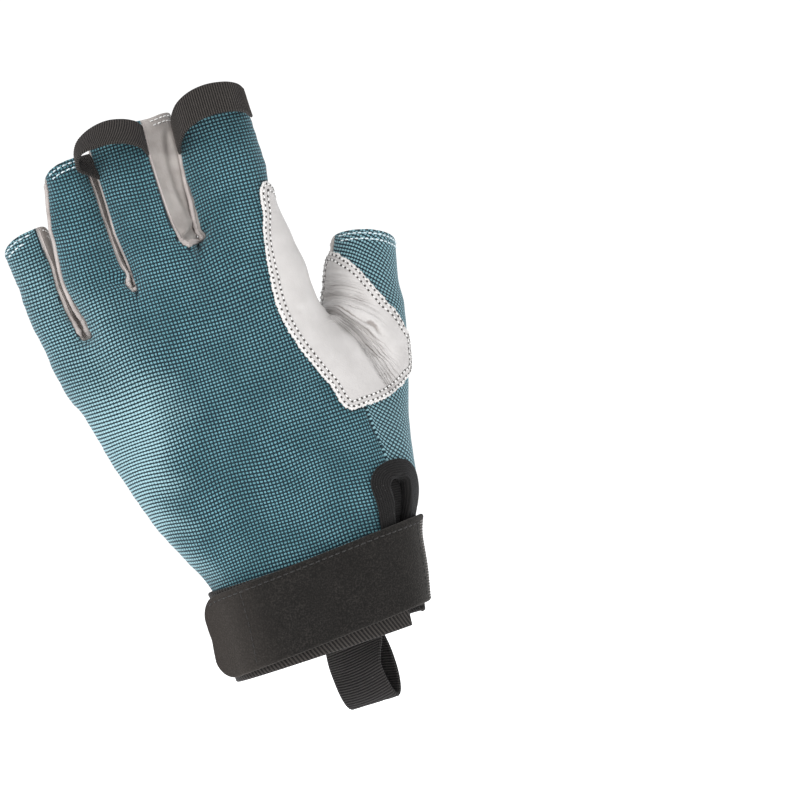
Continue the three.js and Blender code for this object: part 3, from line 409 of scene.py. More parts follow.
def hand_side(p, side):
    """How far points lie on the back's (-1) or the palm's (1) side of the seams round the fingers."""
    flat = side * (p[:, 1] - hand_section(p[:, 2])[1])
    below = web_height(p[:, 0]) + HAND_LENGTH * (BACK_SEAM_UP if side < 0 else PALM_SEAM_UP) - p[:, 2]
    forms = np.stack([finger_form(finger, p) for finger in FINGERS])
    nearest = forms.min(0)
    total = np.minimum(flat, below)
    for finger, form in zip(FINGERS, forms):
        across, depth, along = in_finger(finger, p)
        names = ("thumb_seam", "far_seam") if side < 0 else ("thumb_palm", "far_palm")
        thumb, far = (math.radians(finger[name]) for name in names)
        near_thumb = side * depth * math.cos(thumb) - across * math.sin(thumb)
        near_far = side * depth * math.cos(far) + across * math.sin(far)
        seams = np.minimum(np.minimum(near_thumb, near_far), along + SEAM_ROOT * FINGER_LENGTH)
        total = soft_max(total, seams - SEAM_HOLD * (form - nearest), SEAM_ROUND)
    return total


def thumb_side(p):
    """How far points lie on the thumb's side of the seam between the thumb and the hand."""
    up = (p[:, 2] - NOTCH_TOP) / (CROTCH_UP * HAND_LENGTH - NOTCH_TOP)
    plane = p[:, 0] - HAND_WIDTH * (THUMB_JOIN_LOW + (THUMB_JOIN_HIGH - THUMB_JOIN_LOW) * up)
    nearer = hand_form(p) - thumb_form(p)
    return np.minimum(plane, nearer + 3 * np.maximum(0, THUMB_JOIN_UP * HAND_LENGTH - p[:, 2]))


def thumb_cloth(p):
    """How far points lie on the cloth's side of the seam along the thumb."""
    up = p[:, 2] / HAND_LENGTH
    turn = np.radians(column(THUMB_SEAM, "up", "turn", up))
    dx = p[:, 0] - HAND_WIDTH * column(THUMB_SEAM, "up", "side", up)
    dy = p[:, 1] - HAND_DEPTH * column(THUMB_SEAM, "up", "front", up)
    return dx * np.cos(turn) - dy * np.sin(turn)


def is_cloth(p):
    share = smoothstep(thumb_side(p), -SEAM_TURN, SEAM_TURN)
    return (1 - share) * hand_side(p, -1) + share * thumb_cloth(p)


def is_palm(p):
    share = smoothstep(thumb_side(p), -SEAM_TURN, SEAM_TURN)
    return (1 - share) * hand_side(p, 1) - share * thumb_cloth(p)


def inside_openings(p):
    """How far points lie below the edge of their finger's or the thumb's opening."""
    forms, left = [], []
    for finger in FINGERS:
        across, depth, along = in_finger(finger, p)
        forms.append(finger_form(finger, p))
        left.append(FINGER_LENGTH * finger["long"] - along + finger["rise"] * across - finger["drop"] * depth)
    forms, left = np.stack(forms), np.stack(left)
    nearest = forms.argmin(0)
    pick = np.arange(len(p))
    on_thumb = thumb_form(p) < np.minimum(forms[nearest, pick], palm_form(p))
    return np.where(on_thumb, (THUMB_OPEN - in_thumb(p)[0]) * thumb_length(), left[nearest, pick])


def outside_notch(p):
    x, y, _, _ = hand_section(p[:, 2])
    turn = math.radians(NOTCH_TURN)
    across = (p[:, 0] - x) * math.sin(turn) + (p[:, 1] - y) * math.cos(turn)
    off = np.hypot(across, np.maximum(0, p[:, 2] - NOTCH_TOP))
    return np.where(p[:, 0] < x, HAND_WIDTH, off) - NOTCH_WIDTH / 2


def under_patch(p):
    """How far points lie inside the patch's outline."""
    dx, dz = p[:, 0] - HAND_WIDTH * PATCH_SIDE, p[:, 2] - HAND_LENGTH * PATCH_UP
    turn = np.degrees(np.arctan2(dz, dx)) % 360
    on_back = PATCH_REACH * column(PATCH_OUTLINE, "turn", "reach", turn) - np.hypot(dx, dz)
    edges = []
    for edge in PATCH_EDGES:
        way = math.radians(edge["turn"])
        ex, ez = p[:, 0] - HAND_WIDTH * edge["side"], p[:, 2] - HAND_LENGTH * edge["up"]
        edges.append(ex * math.cos(way) + ez * math.sin(way))
    thumb = thumb_form(p) < hand_form(p)
    off_palm = p[:, 1] - hand_section(p[:, 2])[1] - PATCH_OFF
    palmward = np.where(thumb, in_thumb(p)[2] + PATCH_OFF, off_palm)
    on_palm = np.where(thumb, -palmward, np.min(edges, axis=0))
    share = smoothstep(palmward, -PATCH_TURN, PATCH_TURN)
    return (1 - share) * on_back + share * on_palm


def above_cuff(p):
    return p[:, 2] - SHELL_BOTTOM


def nearest_finger(p):
    away = []
    for finger in FINGERS:
        turn = math.radians(finger["lean"] + finger["spread"])
        at = HAND_WIDTH * finger["side"] + math.tan(turn) * (p[:, 2] - HAND_LENGTH * finger["web"])
        away.append(np.abs(at - p[:, 0]))
    return np.argmin(away, axis=0)


# How the slots between the fingers close once the fingers are posed. Each row has a height, then
# where the cloth of the one finger, its leather, the leather of the next finger and its cloth are
# before, then where they are after.
SLOTS = [
    {
        "start": -55, "end": -35,
        "rows": [
            (122.5, (-47.55, -45.55, -44.05, -43.15), (-44.55, -43.05, -41.65, -40.55)),
            (125, (-48.25, -45.55, -43.55, -42.85), (-45.35, -43.55, -41.95, -40.85)),
            (130, (-48.55, -44.15, -43.55, -42.85), (-45.55, -44.15, -43.15, -41.75)),
            (140, (-48.05, -43.45, -43.05, -42.15), (-46.05, -44.65, -44.35, -43.35)),
            (150, (-48.25, -43.15, -42.65, -41.55), (-46.45, -44.45, -44.05, -43.15)),
            (158, (-48.85, -42.95, -42.15, -40.85), (-47.05, -44.15, -43.75, -42.75)),
            (164, (-48.85, -42.95, -42.15, -40.85), (-46.4, -43.1, -42.6, -41.6)),
            (171, (-48.85, -42.95, -42.15, -40.85), (-45.9, -42.1, -41.5, -40.4)),
        ],
    },
    {
        "start": -35, "end": -13,
        "rows": [
            (131, (-28.05, -26.15, -20.85, -20.35), (-24.05, -22.15, -21.95, -20.85)),
            (135, (-28.55, -26.25, -20.65, -20.15), (-24.25, -22.25, -22.05, -21.05)),
            (140, (-27.95, -26.05, -20.95, -20.45), (-24.55, -22.35, -22.15, -21.35)),
            (150, (-26.95, -25.65, -21.35, -20.85), (-24.75, -22.8, -23.1, -22.6)),
            (160, (-25.95, -24.45, -21.35, -20.85), (-24.85, -22.4, -22.9, -22.4)),
            (170, (-25.65, -24.15, -21.15, -20.65), (-24.85, -22.3, -22.8, -22.2)),
        ],
    },
    {
        "start": -14, "end": 18,
        "rows": [
            (137, (-6.46, 1.74, 3.74, 5.74), (-1.4, 1.3, 1.5, 3.4)),
            (138.2, (-6.5, 1.5, 4.5, 6), (-2.6, 1.7, 1.8, 4.2)),
            (140, (-6.56, 1.24, 5.24, 6.24), (-3.4, 2.1, 2.2, 4.7)),
            (145, (-6.06, 1.94, 6.04, 6.74), (-4.3, 2.5, 2.7, 4.7)),
            (150, (-5.76, 2.54, 6.24, 7.04), (-4.5, 2.9, 3.1, 4.5)),
            (160, (-5.36, 3.74, 6.54, 7.14), (-4.76, 3.74, 4.14, 4.94)),
            (170, (-4.76, 5.24, 6.44, 7.24), (-4.56, 5.24, 5.54, 6.24)),
            (180, (-4.26, 6.24, 7.24, 7.74), (-3.56, 6.24, 6.64, 7.14)),
        ],
    },
]
SLOT_FADE = 11


def close_slots(p):
    """Moves points sideways as SLOTS says."""
    out = p.copy()
    for slot in SLOTS:
        start, end = slot["start"], slot["end"]
        ups, *sides = zip(*slot["rows"])
        pick = (p[:, 0] > start) & (p[:, 0] < end) & (p[:, 2] > ups[0] - SLOT_FADE)
        x, z = p[pick, 0], p[pick, 2]
        old, new = (np.stack([np.interp(z, ups, edge) for edge in zip(*side)]) for side in sides)
        new = old + (new - old) * smoothstep(z, ups[0] - SLOT_FADE, ups[0])
        old, new = (np.stack([np.full(len(x), start), *side, np.full(len(x), end)]) for side in (old, new))
        i = np.clip((x > old).sum(0) - 1, 0, len(old) - 2)
        which = np.arange(len(x))
        t = (x - old[i, which]) / (old[i + 1, which] - old[i, which])
        out[pick, 0] = new[i, which] + t * (new[i + 1, which] - new[i, which])
    return out


# Where the outline is drawn in a little: the heights and the places sideways where that starts, is
# full, ends and is past, and how far
TRIMS = table("low rise fall high start full end past by", [
    (116, 130, 146, 158, 18, 30, 35, 38, -1.8),
    (98, 107, 118, 128, 45, 56, 90, 99, -1.2),
])


# Where the skin is moved up or down: the place, how far, and the reach sideways and upwards
SHIFTS = table("x z by wide tall", [
    (-1.5, 137.3, 1.5, 2.9, 3),
    (3.8, 141, -0.8, 2.2, 4),
    (-42.5, 123, -2.6, 4, 5),
    (-1, 188, -3.2, 9, 12),
])


def trimmed(p):
    """Moves the skin as SHIFTS and TRIMS say."""
    out = p.copy()
    for row in SHIFTS:
        aside, above = (p[:, 0] - row["x"]) / row["wide"], (p[:, 2] - row["z"]) / row["tall"]
        out[:, 2] += row["by"] * np.exp(-aside * aside - above * above)
    for row in TRIMS:
        x, z = p[:, 0], p[:, 2]
        share = smoothstep(z, row["low"], row["rise"]) * (1 - smoothstep(z, row["fall"], row["high"]))
        share *= smoothstep(x, row["start"], row["full"]) * (1 - smoothstep(x, row["end"], row["past"]))
        out[:, 0] += row["by"] * share
    return out


def pose(p):
    """Points of the straight glove where they are once it is filled out as shown."""
    return trimmed(close_slots(curled(p)))


def curled(p):
    """Closes and curls the fingers, as the CAD source does."""
    chosen = nearest_finger(p)
    on_thumb = thumb_form(p) < hand_form(p)
    out = p.copy()
    for i, row in enumerate(FINGERS):
        pick = (chosen == i) & ~on_thumb
        q = p[pick]
        along = in_finger(row, q)[2]
        share = smoothstep(along, 0, FINGER_BEND * FINGER_LENGTH)
        pivot = np.array([HAND_WIDTH * row["side"], HAND_DEPTH * row["front"], HAND_LENGTH * row["web"]])
        x, y, z = (q - pivot).T
        turn, bend = -math.radians(row["spread"]) * share, -math.radians(row["curl"]) * share
        x, z = x * np.cos(turn) + z * np.sin(turn), z * np.cos(turn) - x * np.sin(turn)
        y, z = y * np.cos(bend) - z * np.sin(bend), y * np.sin(bend) + z * np.cos(bend)
        out[pick] = np.stack([x, y, z], 1) + pivot
    return out


# The skin as a mesh


def surface_net(form, low, high, step):
    """One point in each cell that the surface crosses, two triangles across each crossed cell edge."""
    axes = [np.arange(a, b + step / 2, step) for a, b in zip(low, high)]
    shape = tuple(len(axis) for axis in axes)
    plane = np.stack(np.meshgrid(axes[1], axes[2], indexing="ij"), -1).reshape(-1, 2)
    sheets = [form(np.column_stack([np.full(len(plane), x), plane])) for x in axes[0]]
    value = np.stack(sheets).reshape(shape)
    cells = tuple(n - 1 for n in shape)
    total, count = np.zeros((*cells, 3)), np.zeros(cells, int)
    crossings = []
    for n in range(3):
        a = value.take(range(shape[n] - 1), n)
        b = value.take(range(1, shape[n]), n)
        at = np.argwhere((a < 0) != (b < 0))
        va, vb = a[tuple(at.T)], b[tuple(at.T)]
        places = np.stack([axes[k][at[:, k]] for k in range(3)], 1)
        places[:, n] += step * va / (va - vb)
        u, v = (n + 1) % 3, (n + 2) % 3
        ring = []
        for du, dv in ((0, 0), (-1, 0), (-1, -1), (0, -1)):
            cell = at.copy()
            cell[:, u] += du
            cell[:, v] += dv
            fits = ((cell >= 0) & (cell < cells)).all(1)
            np.add.at(total, tuple(cell[fits].T), places[fits])
            np.add.at(count, tuple(cell[fits].T), 1)
            ring.append(np.where(fits[:, None], cell, -1))
        crossings.append((np.stack(ring, 1), va < 0))
    used = count > 0
    number = np.full(cells, -1)
    number[used] = np.arange(used.sum())
    points = total[used] / count[used][:, None]
    faces = []
    for ring, inside in crossings:
        whole = (ring >= 0).all((1, 2))
        quads = number[tuple(np.moveaxis(ring[whole], -1, 0))]
        quads = np.where(inside[whole][:, None], quads, quads[:, ::-1])
        faces += [quads[:, [0, 1, 2]], quads[:, [0, 2, 3]]]
    return points, np.concatenate(faces)


def crossing_points(points, values, a, b):
    """New points where edges cross zero, one for each different edge, and their numbers."""
    ends = np.sort(np.stack([a, b], 1), 1)
    different, number = np.unique(ends, axis=0, return_inverse=True)
    a, b = different.T
    t = values[a] / (values[a] - values[b])
    return points[a] + t[:, None] * (points[b] - points[a]), number.ravel()


# How near a seam points are drawn onto it and taken as on it, as shares of GRID, and the least
# slope of a seam's function that is followed
NEAR_SEAM, ON_SEAM, LEAST_SLOPE = 0.36, 0.12, 0.1


def cut_along(skin, name, seam):
    """Draws points near a seam onto it, divides the faces that still cross it and marks each face's side."""
    points, faces, inside = skin
    values = seam(points)
    near = np.abs(values) < NEAR_SEAM * GRID
    close = points[near]
    normal = outward(close)
    slope = gradient(seam, close, 0.3)
    slope -= dot(slope, normal)[:, None] * normal
    size2 = (slope**2).sum(1)
    steep = size2 > LEAST_SLOPE
    move = np.where(steep, values[near] / np.maximum(size2, LEAST_SLOPE), 0)
    points = points.copy()
    points[near] = np.where(steep[:, None], onto_skin(close - move[:, None] * slope), close)
    values = seam(points)
    values[np.abs(values) < ON_SEAM * GRID] = 0
    signs = np.sign(values)[faces]
    mixed = (signs.min(1) < 0) & (signs.max(1) > 0)
    label = signs[~mixed].sum(1) > 0
    split, s = faces[mixed], signs[mixed]
    alone = (s != 0) & (np.roll(s, -1, 1) != s) & (np.roll(s, -2, 1) != s)
    turned = (alone.argmax(1)[:, None] + np.arange(3)) % 3
    split, s = np.take_along_axis(split, turned, 1), np.take_along_axis(s, turned, 1)
    a, b, c = split.T
    need_ab, need_ac = s[:, 1] != 0, s[:, 2] != 0
    new, number = crossing_points(
        points, values, np.concatenate([a[need_ab], a[need_ac]]), np.concatenate([b[need_ab], c[need_ac]])
    )
    on_ab, on_ac = b.copy(), c.copy()
    on_ab[need_ab] = len(points) + number[: need_ab.sum()]
    on_ac[need_ac] = len(points) + number[need_ab.sum() :]
    points = np.concatenate([points, new])
    pieces = [
        (np.stack([a, on_ab, on_ac], 1), np.ones(len(a), bool), s[:, 0] > 0),
        (np.stack([on_ab, b, c], 1), need_ab, s[:, 0] < 0),
        (np.stack([on_ab, c, on_ac], 1), need_ac, s[:, 0] < 0),
    ]
    where = np.flatnonzero(mixed)
    all_faces, all_label, origin = [faces[~mixed]], [label], [np.flatnonzero(~mixed)]
    for tri, use, mark in pieces:
        all_faces.append(tri[use])
        all_label.append(mark[use])
        origin.append(where[use])
    origin = np.concatenate(origin)
    marks = {key: mark[origin] for key, mark in inside.items()}
    marks[name] = np.concatenate(all_label)
    return points, np.concatenate(all_faces), marks


def largest(faces, keep=1):
    """The largest pieces of a mesh that hang together, largest first."""
    label = np.arange(faces.max() + 1)
    while True:
        low = label[faces].min(1)
        new = label.copy()
        np.minimum.at(new, faces.ravel(), np.repeat(low, 3))
        new = new[new]
        if (new == label).all():
            break
        label = new
    group = label[faces[:, 0]]
    names, sizes = np.unique(group, return_counts=True)
    return [faces[group == names[i]] for i in np.argsort(-sizes)[:keep]]


def rim_of(faces, count):
    """The directed edges of a mesh that only one face has."""
    edges = edges_of(faces)
    there, back = edges[:, 0] * count + edges[:, 1], edges[:, 1] * count + edges[:, 0]
    return edges[~np.isin(there, back)]


def compact(points, faces):
    used, number = np.unique(faces, return_inverse=True)
    return points[used], number.reshape(faces.shape)


def rim_inward(points, normals, rim):
    inward = np.zeros_like(points)
    for end in (0, 1):
        side = unit(np.cross(normals[rim[:, end]], points[rim[:, 1]] - points[rim[:, 0]]))
        np.add.at(inward, rim[:, end], side)
    return unit(inward)


def loops_of(rim):
    """The rim's edges as closed rings of point numbers."""
    following = dict(zip(rim[:, 0].tolist(), rim[:, 1].tolist()))
    rings = []
    while following:
        start, at = following.popitem()
        ring = [start]
        while at != start and at in following:
            ring.append(at)
            at = following.pop(at)
        rings.append(np.array(ring))
    return sorted(rings, key=len, reverse=True)


# Reliefs: how far a surface stands off the smooth skin, worked out before the fingers are closed


# The waves that make up noise: how many, the spread of their lengths and what evens their sum out
NOISE_WAVES, NOISE_SPREAD, NOISE_SUM = 10, (0.7, 1.5), 4.5


def noise(p, size, seed):
    """Smooth noise from -1 to 1 with bumps of a size, from waves in fixed pseudo-random directions."""
    random = np.random.default_rng(seed)
    total = np.zeros(len(p))
    for _ in range(NOISE_WAVES):
        way = unit(random.normal(size=3)) * random.uniform(*NOISE_SPREAD) * 2 * math.pi / size
        total += np.sin(p @ way + random.uniform(0, 2 * math.pi))
    return total / NOISE_SUM


# Where the sight that finds the skin starts and ends, as depths, and how many steps it takes
SIGHT = (55, -45, 401)


def facing(places, side):
    """Points of the skin straight over places (x, z), seen from the back (-1) or from the palm (1)."""
    places = np.asarray(places, float)
    y = np.linspace(*SIGHT) * side
    sights = [np.column_stack([np.full(len(y), x), y, np.full(len(y), z)]) for x, z in places]
    value = glove_form(np.concatenate(sights)).reshape(len(places), -1)
    first = np.maximum((value < 0).argmax(1), 1)
    pick = np.arange(len(places))
    a, b = value[pick, first - 1], value[pick, first]
    at = y[first - 1] + (y[first] - y[first - 1]) * a / (a - b)
    return np.column_stack([places[:, 0], at, places[:, 1]])


# Creases: the back (-1) or the palm (1), three places (x, z) that draw a curve, depth, half-width
CREASES = table("side route deep wide", [
    (-1, ((33, 102.9), (36, 103.6), (39.5, 100.6)), 1.3, 0.7),
    (-1, ((33, 101.6), (38.9, 98), (42, 87.4)), 0.9, 0.8),
    (-1, ((34, 102.6), (41.8, 99), (44.8, 84.1)), 1.2, 1.0),
    (-1, ((35, 103.8), (44.8, 98.3), (47.6, 85.5)), 1.0, 0.8),
    (-1, ((36, 105), (47, 99.5), (50, 88)), 0.35, 0.7),
    (-1, ((34.2, 105.9), (42.5, 108), (50.7, 97.4)), 0.4, 0.7),
    (-1, ((34.3, 107.4), (39.4, 110.2), (47, 102.5)), 0.55, 0.65),
    (-1, ((35.5, 110.5), (40.5, 112.7), (47.5, 106.5)), 0.4, 0.6),
    (-1, ((37, 114.4), (43.5, 114), (47.2, 110.1)), 0.4, 0.6),
    (-1, ((38.5, 116.8), (45.1, 115), (47.7, 111.5)), 0.3, 0.6),
    (-1, ((34, 102.5), (42, 97), (45.5, 84)), 1.5, 2.8),
    (-1, ((29, 108), (24, 106), (20, 108)), 0.25, 1.0),
    (-1, ((-52, 133), (-47, 128), (-43, 120)), 0.8, 1.4),
    (-1, ((-35, 137), (-30, 134), (-24, 131)), 0.8, 1.4),
    (-1, ((-14, 146), (-8, 142), (-1, 138)), 0.8, 1.5),
    (-1, ((10, 144), (6, 141), (2, 137)), 0.5, 1.3),
    (-1, ((-44, 116), (-41, 104), (-39, 92)), 0.45, 2.2),
    (-1, ((-23, 126), (-21, 112), (-19, 98)), 0.45, 2.4),
    (-1, ((0, 133), (1, 118), (0, 104)), 0.45, 2.4),
    (-1, ((4, 180), (1, 163), (1.6, 147)), 1.5, 1.5),
    (-1, ((2, 182), (-1, 163), (-1.5, 144)), 1.1, 3.0),
    (-1, ((-4.5, 141), (-1, 140.5), (1.4, 144)), 1.9, 1.1),
    (1, ((28, 90), (22, 76), (13, 62)), 0.8, 1.4),
    (1, ((29, 88), (25, 76), (17, 66)), 0.6, 1.1),
    (1, ((30, 86), (27, 76), (22, 68)), 0.5, 1.0),
    (1, ((-46, 110), (-20, 113), (8, 106)), 0.5, 2.2),
    (1, ((-44, 96), (-18, 96), (10, 88)), 0.4, 2.4),
    (1, ((-44, 76), (-24, 72), (-8, 58)), 0.4, 2.2),
])
CREASE_STEPS = 8
# A crease's ridges as a share of its depth, and how evenly deep it is along its length
CREASE_RIDGE, CREASE_ENDS = 0.4, 0.7


def crease(p, steps, deep, wide):
    """A valley between two low ridges along a row of points."""
    reach = 4 * wide + 1
    box = (p > steps.min(0) - reach).all(1) & (p < steps.max(0) + reach).all(1)
    q = p[box]
    off, share = np.full(len(q), 1e3), np.zeros(len(q))
    for i in range(CREASE_STEPS):
        way = steps[i + 1] - steps[i]
        t = np.clip((q - steps[i]) @ way / float(way @ way), 0, 1)
        away = np.linalg.norm(q - steps[i] - t[:, None] * way, axis=1)
        nearer = away < off
        off, share = np.where(nearer, away, off), np.where(nearer, (i + t) / CREASE_STEPS, share)
    fade = np.clip(4 * share * (1 - share), 0, 1) ** CREASE_ENDS
    ridge = CREASE_RIDGE * np.exp(-(((off - 2 * wide) / wide) ** 2))
    total = np.zeros(len(p))
    total[box] = deep * fade * (ridge - np.exp(-((off / wide) ** 2)))
    return total


for row in CREASES:
    route = np.array(row["route"], float)
    row["steps"] = facing(bezier(*route, np.linspace(0, 1, CREASE_STEPS + 1)[:, None]), row["side"])


# Rolling of the whole surface: how high, how wide and the seed
ROLLS = [(0.22, 26, 1), (0.09, 9, 2)]


def relief(p):
    total = sum(high * noise(p, wide, seed) for high, wide, seed in ROLLS)
    for row in CREASES:
        total += crease(p, row["steps"], row["deep"], row["wide"])
    return total


# The fan of fine wrinkles over the patch at the thumb. Each wrinkle drops from its height at the
# crotch, the more the further out it runs, and FAN_COUNT numbers the wrinkles by that height.
FAN_AT = 31.8
FAN_LINES = [96, 101.5, 102.8, 104, 105, 105.9, 107.4, 110, 122]
FAN_DROP = [0.17, 0.155, 0.124, 0.082, 0.059, 0.036, 0.029, 0.023, 0.027]
FAN_COUNT = [(96, 0), (101, 5), (105.5, 14), (107, 15.5), (118, 24), (122, 27)]
# How deep the wrinkles are and where they grow wide, then where they fade in and out, sideways and
# upwards, and from where up they show less
FAN_DEEP, FAN_WIDE = 0.34, (35, 39)
FAN_IN, FAN_OUT, FAN_LOW, FAN_HIGH, FAN_DIM = (31, 35), (46, 53), (98, 101.5), (114, 119), (104, 108)


def fan(p):
    """For each point the wrinkles counted up to it and how strongly they show there."""
    lines = np.linspace(FAN_LINES[0], FAN_LINES[-1], 105)
    out = np.maximum(p[:, 0] - FAN_AT, 0)
    heights = lines - np.interp(lines, FAN_LINES, FAN_DROP) * (out * out)[:, None]
    i = np.clip((heights < p[:, 2:]).sum(1), 1, len(lines) - 1)
    which = np.arange(len(p))
    below, above = heights[which, i - 1], heights[which, i]
    line = lines[i - 1] + np.clip((p[:, 2] - below) / (above - below), 0, 1) * (lines[i] - lines[i - 1])
    count = np.interp(line, *np.array(FAN_COUNT, float).T)
    shown = smoothstep(p[:, 0], *FAN_IN) * (1 - smoothstep(p[:, 0], *FAN_OUT))
    shown *= smoothstep(line, *FAN_LOW) * (1 - smoothstep(line, *FAN_HIGH))
    shown *= 1 - 0.45 * smoothstep(line, *FAN_DIM)
    return count + 0.25 * noise(p, 6, 21), shown * (0.75 + 0.25 * noise(p, 8, 22))


def fan_relief(p):
    """Narrow valleys where the fan's wrinkles lie wide apart, away from the crotch."""
    count, shown = fan(p)
    wide = smoothstep(p[:, 0], *FAN_WIDE)
    return -FAN_DEEP * shown * wide * (0.5 + 0.5 * np.cos(2 * math.pi * count)) ** 1.5


def finer(points, faces):
    """Each triangle as four, with the new points on the skin."""
    different, number = np.unique(np.sort(edges_of(faces), 1), axis=0, return_inverse=True)
    middle = onto_skin(points[different].mean(1))
    ab, bc, ca = (number.ravel() + len(points)).reshape(3, -1)
    a, b, c = faces.T
    parts = [(a, ab, ca), (ab, b, bc), (ca, bc, c), (ab, bc, ca)]
    return np.concatenate([points, middle]), np.concatenate([np.stack(part, 1) for part in parts])


# Pieces


def new_piece(name, node, points, faces, material, slot, marks=None):
    """A mesh object in the frame, from triangles or quads. marks: named values of each point."""
    corners = faces.shape[1]
    mesh = bpy.data.meshes.new(name)
    mesh.vertices.add(len(points))
    mesh.vertices.foreach_set("co", (points * MM).ravel())
    mesh.loops.add(faces.size)
    mesh.loops.foreach_set("vertex_index", faces.ravel())
    mesh.polygons.add(len(faces))
    mesh.polygons.foreach_set("loop_start", np.arange(0, faces.size, corners))
    mesh.polygons.foreach_set("loop_total", np.full(len(faces), corners))
    mesh.update(calc_edges=True)
    for key, values in (marks or {}).items():
        kind, field = ("FLOAT", "value") if values.ndim == 1 else ("FLOAT_VECTOR", "vector")
        mesh.attributes.new(key, kind, "POINT").data.foreach_set(field, values.ravel())
    mesh.materials.append(material)
    mesh.shade_smooth()
    piece = bpy.data.objects.new(name, mesh)
    bpy.context.scene.collection.objects.link(piece)
    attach(piece, "root")
    if node:
        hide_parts(node)
    return piece


class Panel:
    """A piece of the skin cut out along its seams, with its rim and how far each point is off it."""

    def __init__(self, points, faces):
        self.points, self.faces = compact(points, faces)
        self.normals = outward(self.points)
        self.rim = rim_of(self.faces, len(self.points))
        self.inward = rim_inward(self.points, self.normals, self.rim)
        ends = np.unique(self.rim)
        tree = KDTree(len(ends))
        for at in ends.tolist():
            tree.insert(self.points[at], at)
        tree.balance()
        self.tree = tree
        found = [tree.find(point) for point in self.points]
        self.near = np.array([at for _, at, _ in found])
        self.off_rim = np.array([away for _, _, away in found])

    def off(self, points):
        return np.array([self.tree.find(point)[2] for point in points])


# The turns of a wall's rounded edge, and how far from the rim it draws the surface in
ROUND_TURNS = (45, 0, -45)
DRAWN_IN = 3.2


def wall(panel, low, high, surface, ragged=0.0):
    """A closed wall on a panel with a rounded edge. surface: the relief of each point."""
    half = (high - low) / 2
    gap = SEAM_GAP / 2
    fade = np.clip(1 - panel.off_rim / DRAWN_IN, 0, 1) ** 2
    toward = panel.inward[panel.near]
    drawn = panel.points + toward * ((gap + half) * fade)[:, None]
    n = len(panel.points)
    layers = [drawn + panel.normals * (level + surface)[:, None] for level in (high, low)]
    ends = np.unique(panel.rim)
    number = np.full(n, -1)
    number[ends] = np.arange(len(ends))
    base, normal, inward = panel.points[ends], panel.normals[ends], panel.inward[ends]
    base = base - inward * (ragged * noise(base, 0.9, 11))[:, None]
    for turn in ROUND_TURNS:
        c, s = math.cos(math.radians(turn)), math.sin(math.radians(turn))
        lift = (low + high) / 2 + half * s + surface[ends]
        layers.append(base + inward * (gap + half * (1 - c)) + normal * lift[:, None])
    rounds = [2 * n + k * len(ends) + number[panel.rim] for k in range(len(ROUND_TURNS))]
    rings = [panel.rim, *rounds, panel.rim + n]
    faces = [panel.faces, panel.faces[:, [0, 2, 1]] + n]
    for above, below in zip(rings, rings[1:]):
        a, b = above.T
        c, d = below.T
        faces += [np.stack([b, a, c], 1), np.stack([b, c, d], 1)]
    return pose(np.concatenate(layers)), np.concatenate(faces)


def layered(panel, values):
    """Values of a panel's points, repeated for the layers of its wall."""
    ends = np.unique(panel.rim)
    return np.concatenate([values, values] + [values[ends]] * len(ROUND_TURNS))


# Where the weave's threads run, counted in threads: straight over the back, and on round the sides


def round_side(across, depth, a, b):
    """How much longer the way round a section is than the straight way over its back."""
    drop = np.clip(b + depth, 0, 1.6 * b)
    return np.tanh(3 * across / a) * drop * drop / (2 * b)


# The stretch up a finger's root over which the weave passes from the hand's run to the finger's
FINGER_WEAVE = (-12, 14)
# How much the weave sways sideways and rises, and how wide those waves are
SWAY, RISE, THUMB_RISE = (0.5, 30), (0.9, 34), (0.7, 22)


def back_threads(p):
    x, y, a, b = hand_section(p[:, 2])
    more = round_side(p[:, 0] - x, p[:, 1] - y, a, b)
    chosen = nearest_finger(p)
    for i, finger in enumerate(FINGERS):
        pick = chosen == i
        across, depth, along = in_finger(finger, p[pick])
        on_finger = round_side(across, depth, *finger_half(finger, along))
        more[pick] += smoothstep(along, *FINGER_WEAVE) * (on_finger - more[pick])
    shown = pose(p)
    sway, rise = SWAY[0] * noise(p, SWAY[1], 31), RISE[0] * noise(p, RISE[1], 32)
    return np.column_stack([shown[:, 0] + more + sway, shown[:, 2] + rise, np.zeros(len(p))]) / WEAVE


def thumb_threads(p):
    t, across, depth, past = in_thumb(p)
    a, b = thumb_half(t)
    u = across + round_side(across, depth, a, b)
    v = t * thumb_length() + past + THUMB_RISE[0] * noise(p, THUMB_RISE[1], 33)
    turn = math.radians(THUMB_WEAVE_TURN)
    across, along = u * math.cos(turn) - v * math.sin(turn), u * math.sin(turn) + v * math.cos(turn)
    return np.column_stack([across, along, np.zeros(len(p))]) / WEAVE


# Stitches


def resampled(path, pitch):
    length = lengths_along(path)
    count = int(length[-1] // pitch)
    at = (np.arange(count + 1) + 0.5 * (length[-1] / pitch - count)) * pitch
    return at_lengths(at, length, path)


def rim_rows(panel, offset, keep, pitch):
    """Rows of evenly spaced points, at a distance from the stretches of a rim that a test keeps."""
    rows = []
    for ring in loops_of(panel.rim):
        kept = keep(panel.points[ring])
        if not kept.any() or len(ring) < 12:
            continue
        if not kept.all():
            ring = np.roll(ring, -int(np.argmin(kept)))
            kept = np.roll(kept, -int(np.argmin(kept)))
        else:
            ring, kept = np.append(ring, ring[0]), np.append(kept, True)
        inward = panel.inward[ring]
        smooth = unit(sum(np.roll(inward, k, axis=0) for k in range(-3, 4)))
        path = onto_skin(panel.points[ring] + smooth * offset, 3)
        path = onto_skin(path + 0.5 * (np.roll(path, 1, 0) + np.roll(path, -1, 0) - 2 * path), 3)
        kept &= panel.off(path) > 0.93 * offset
        breaks = np.flatnonzero(np.diff(kept.astype(int))) + 1
        for part in np.split(np.arange(len(ring)), breaks):
            if kept[part[0]] and len(part) > 6:
                rows.append(resampled(path[part], pitch))
    return [row for row in rows if len(row) > 2]


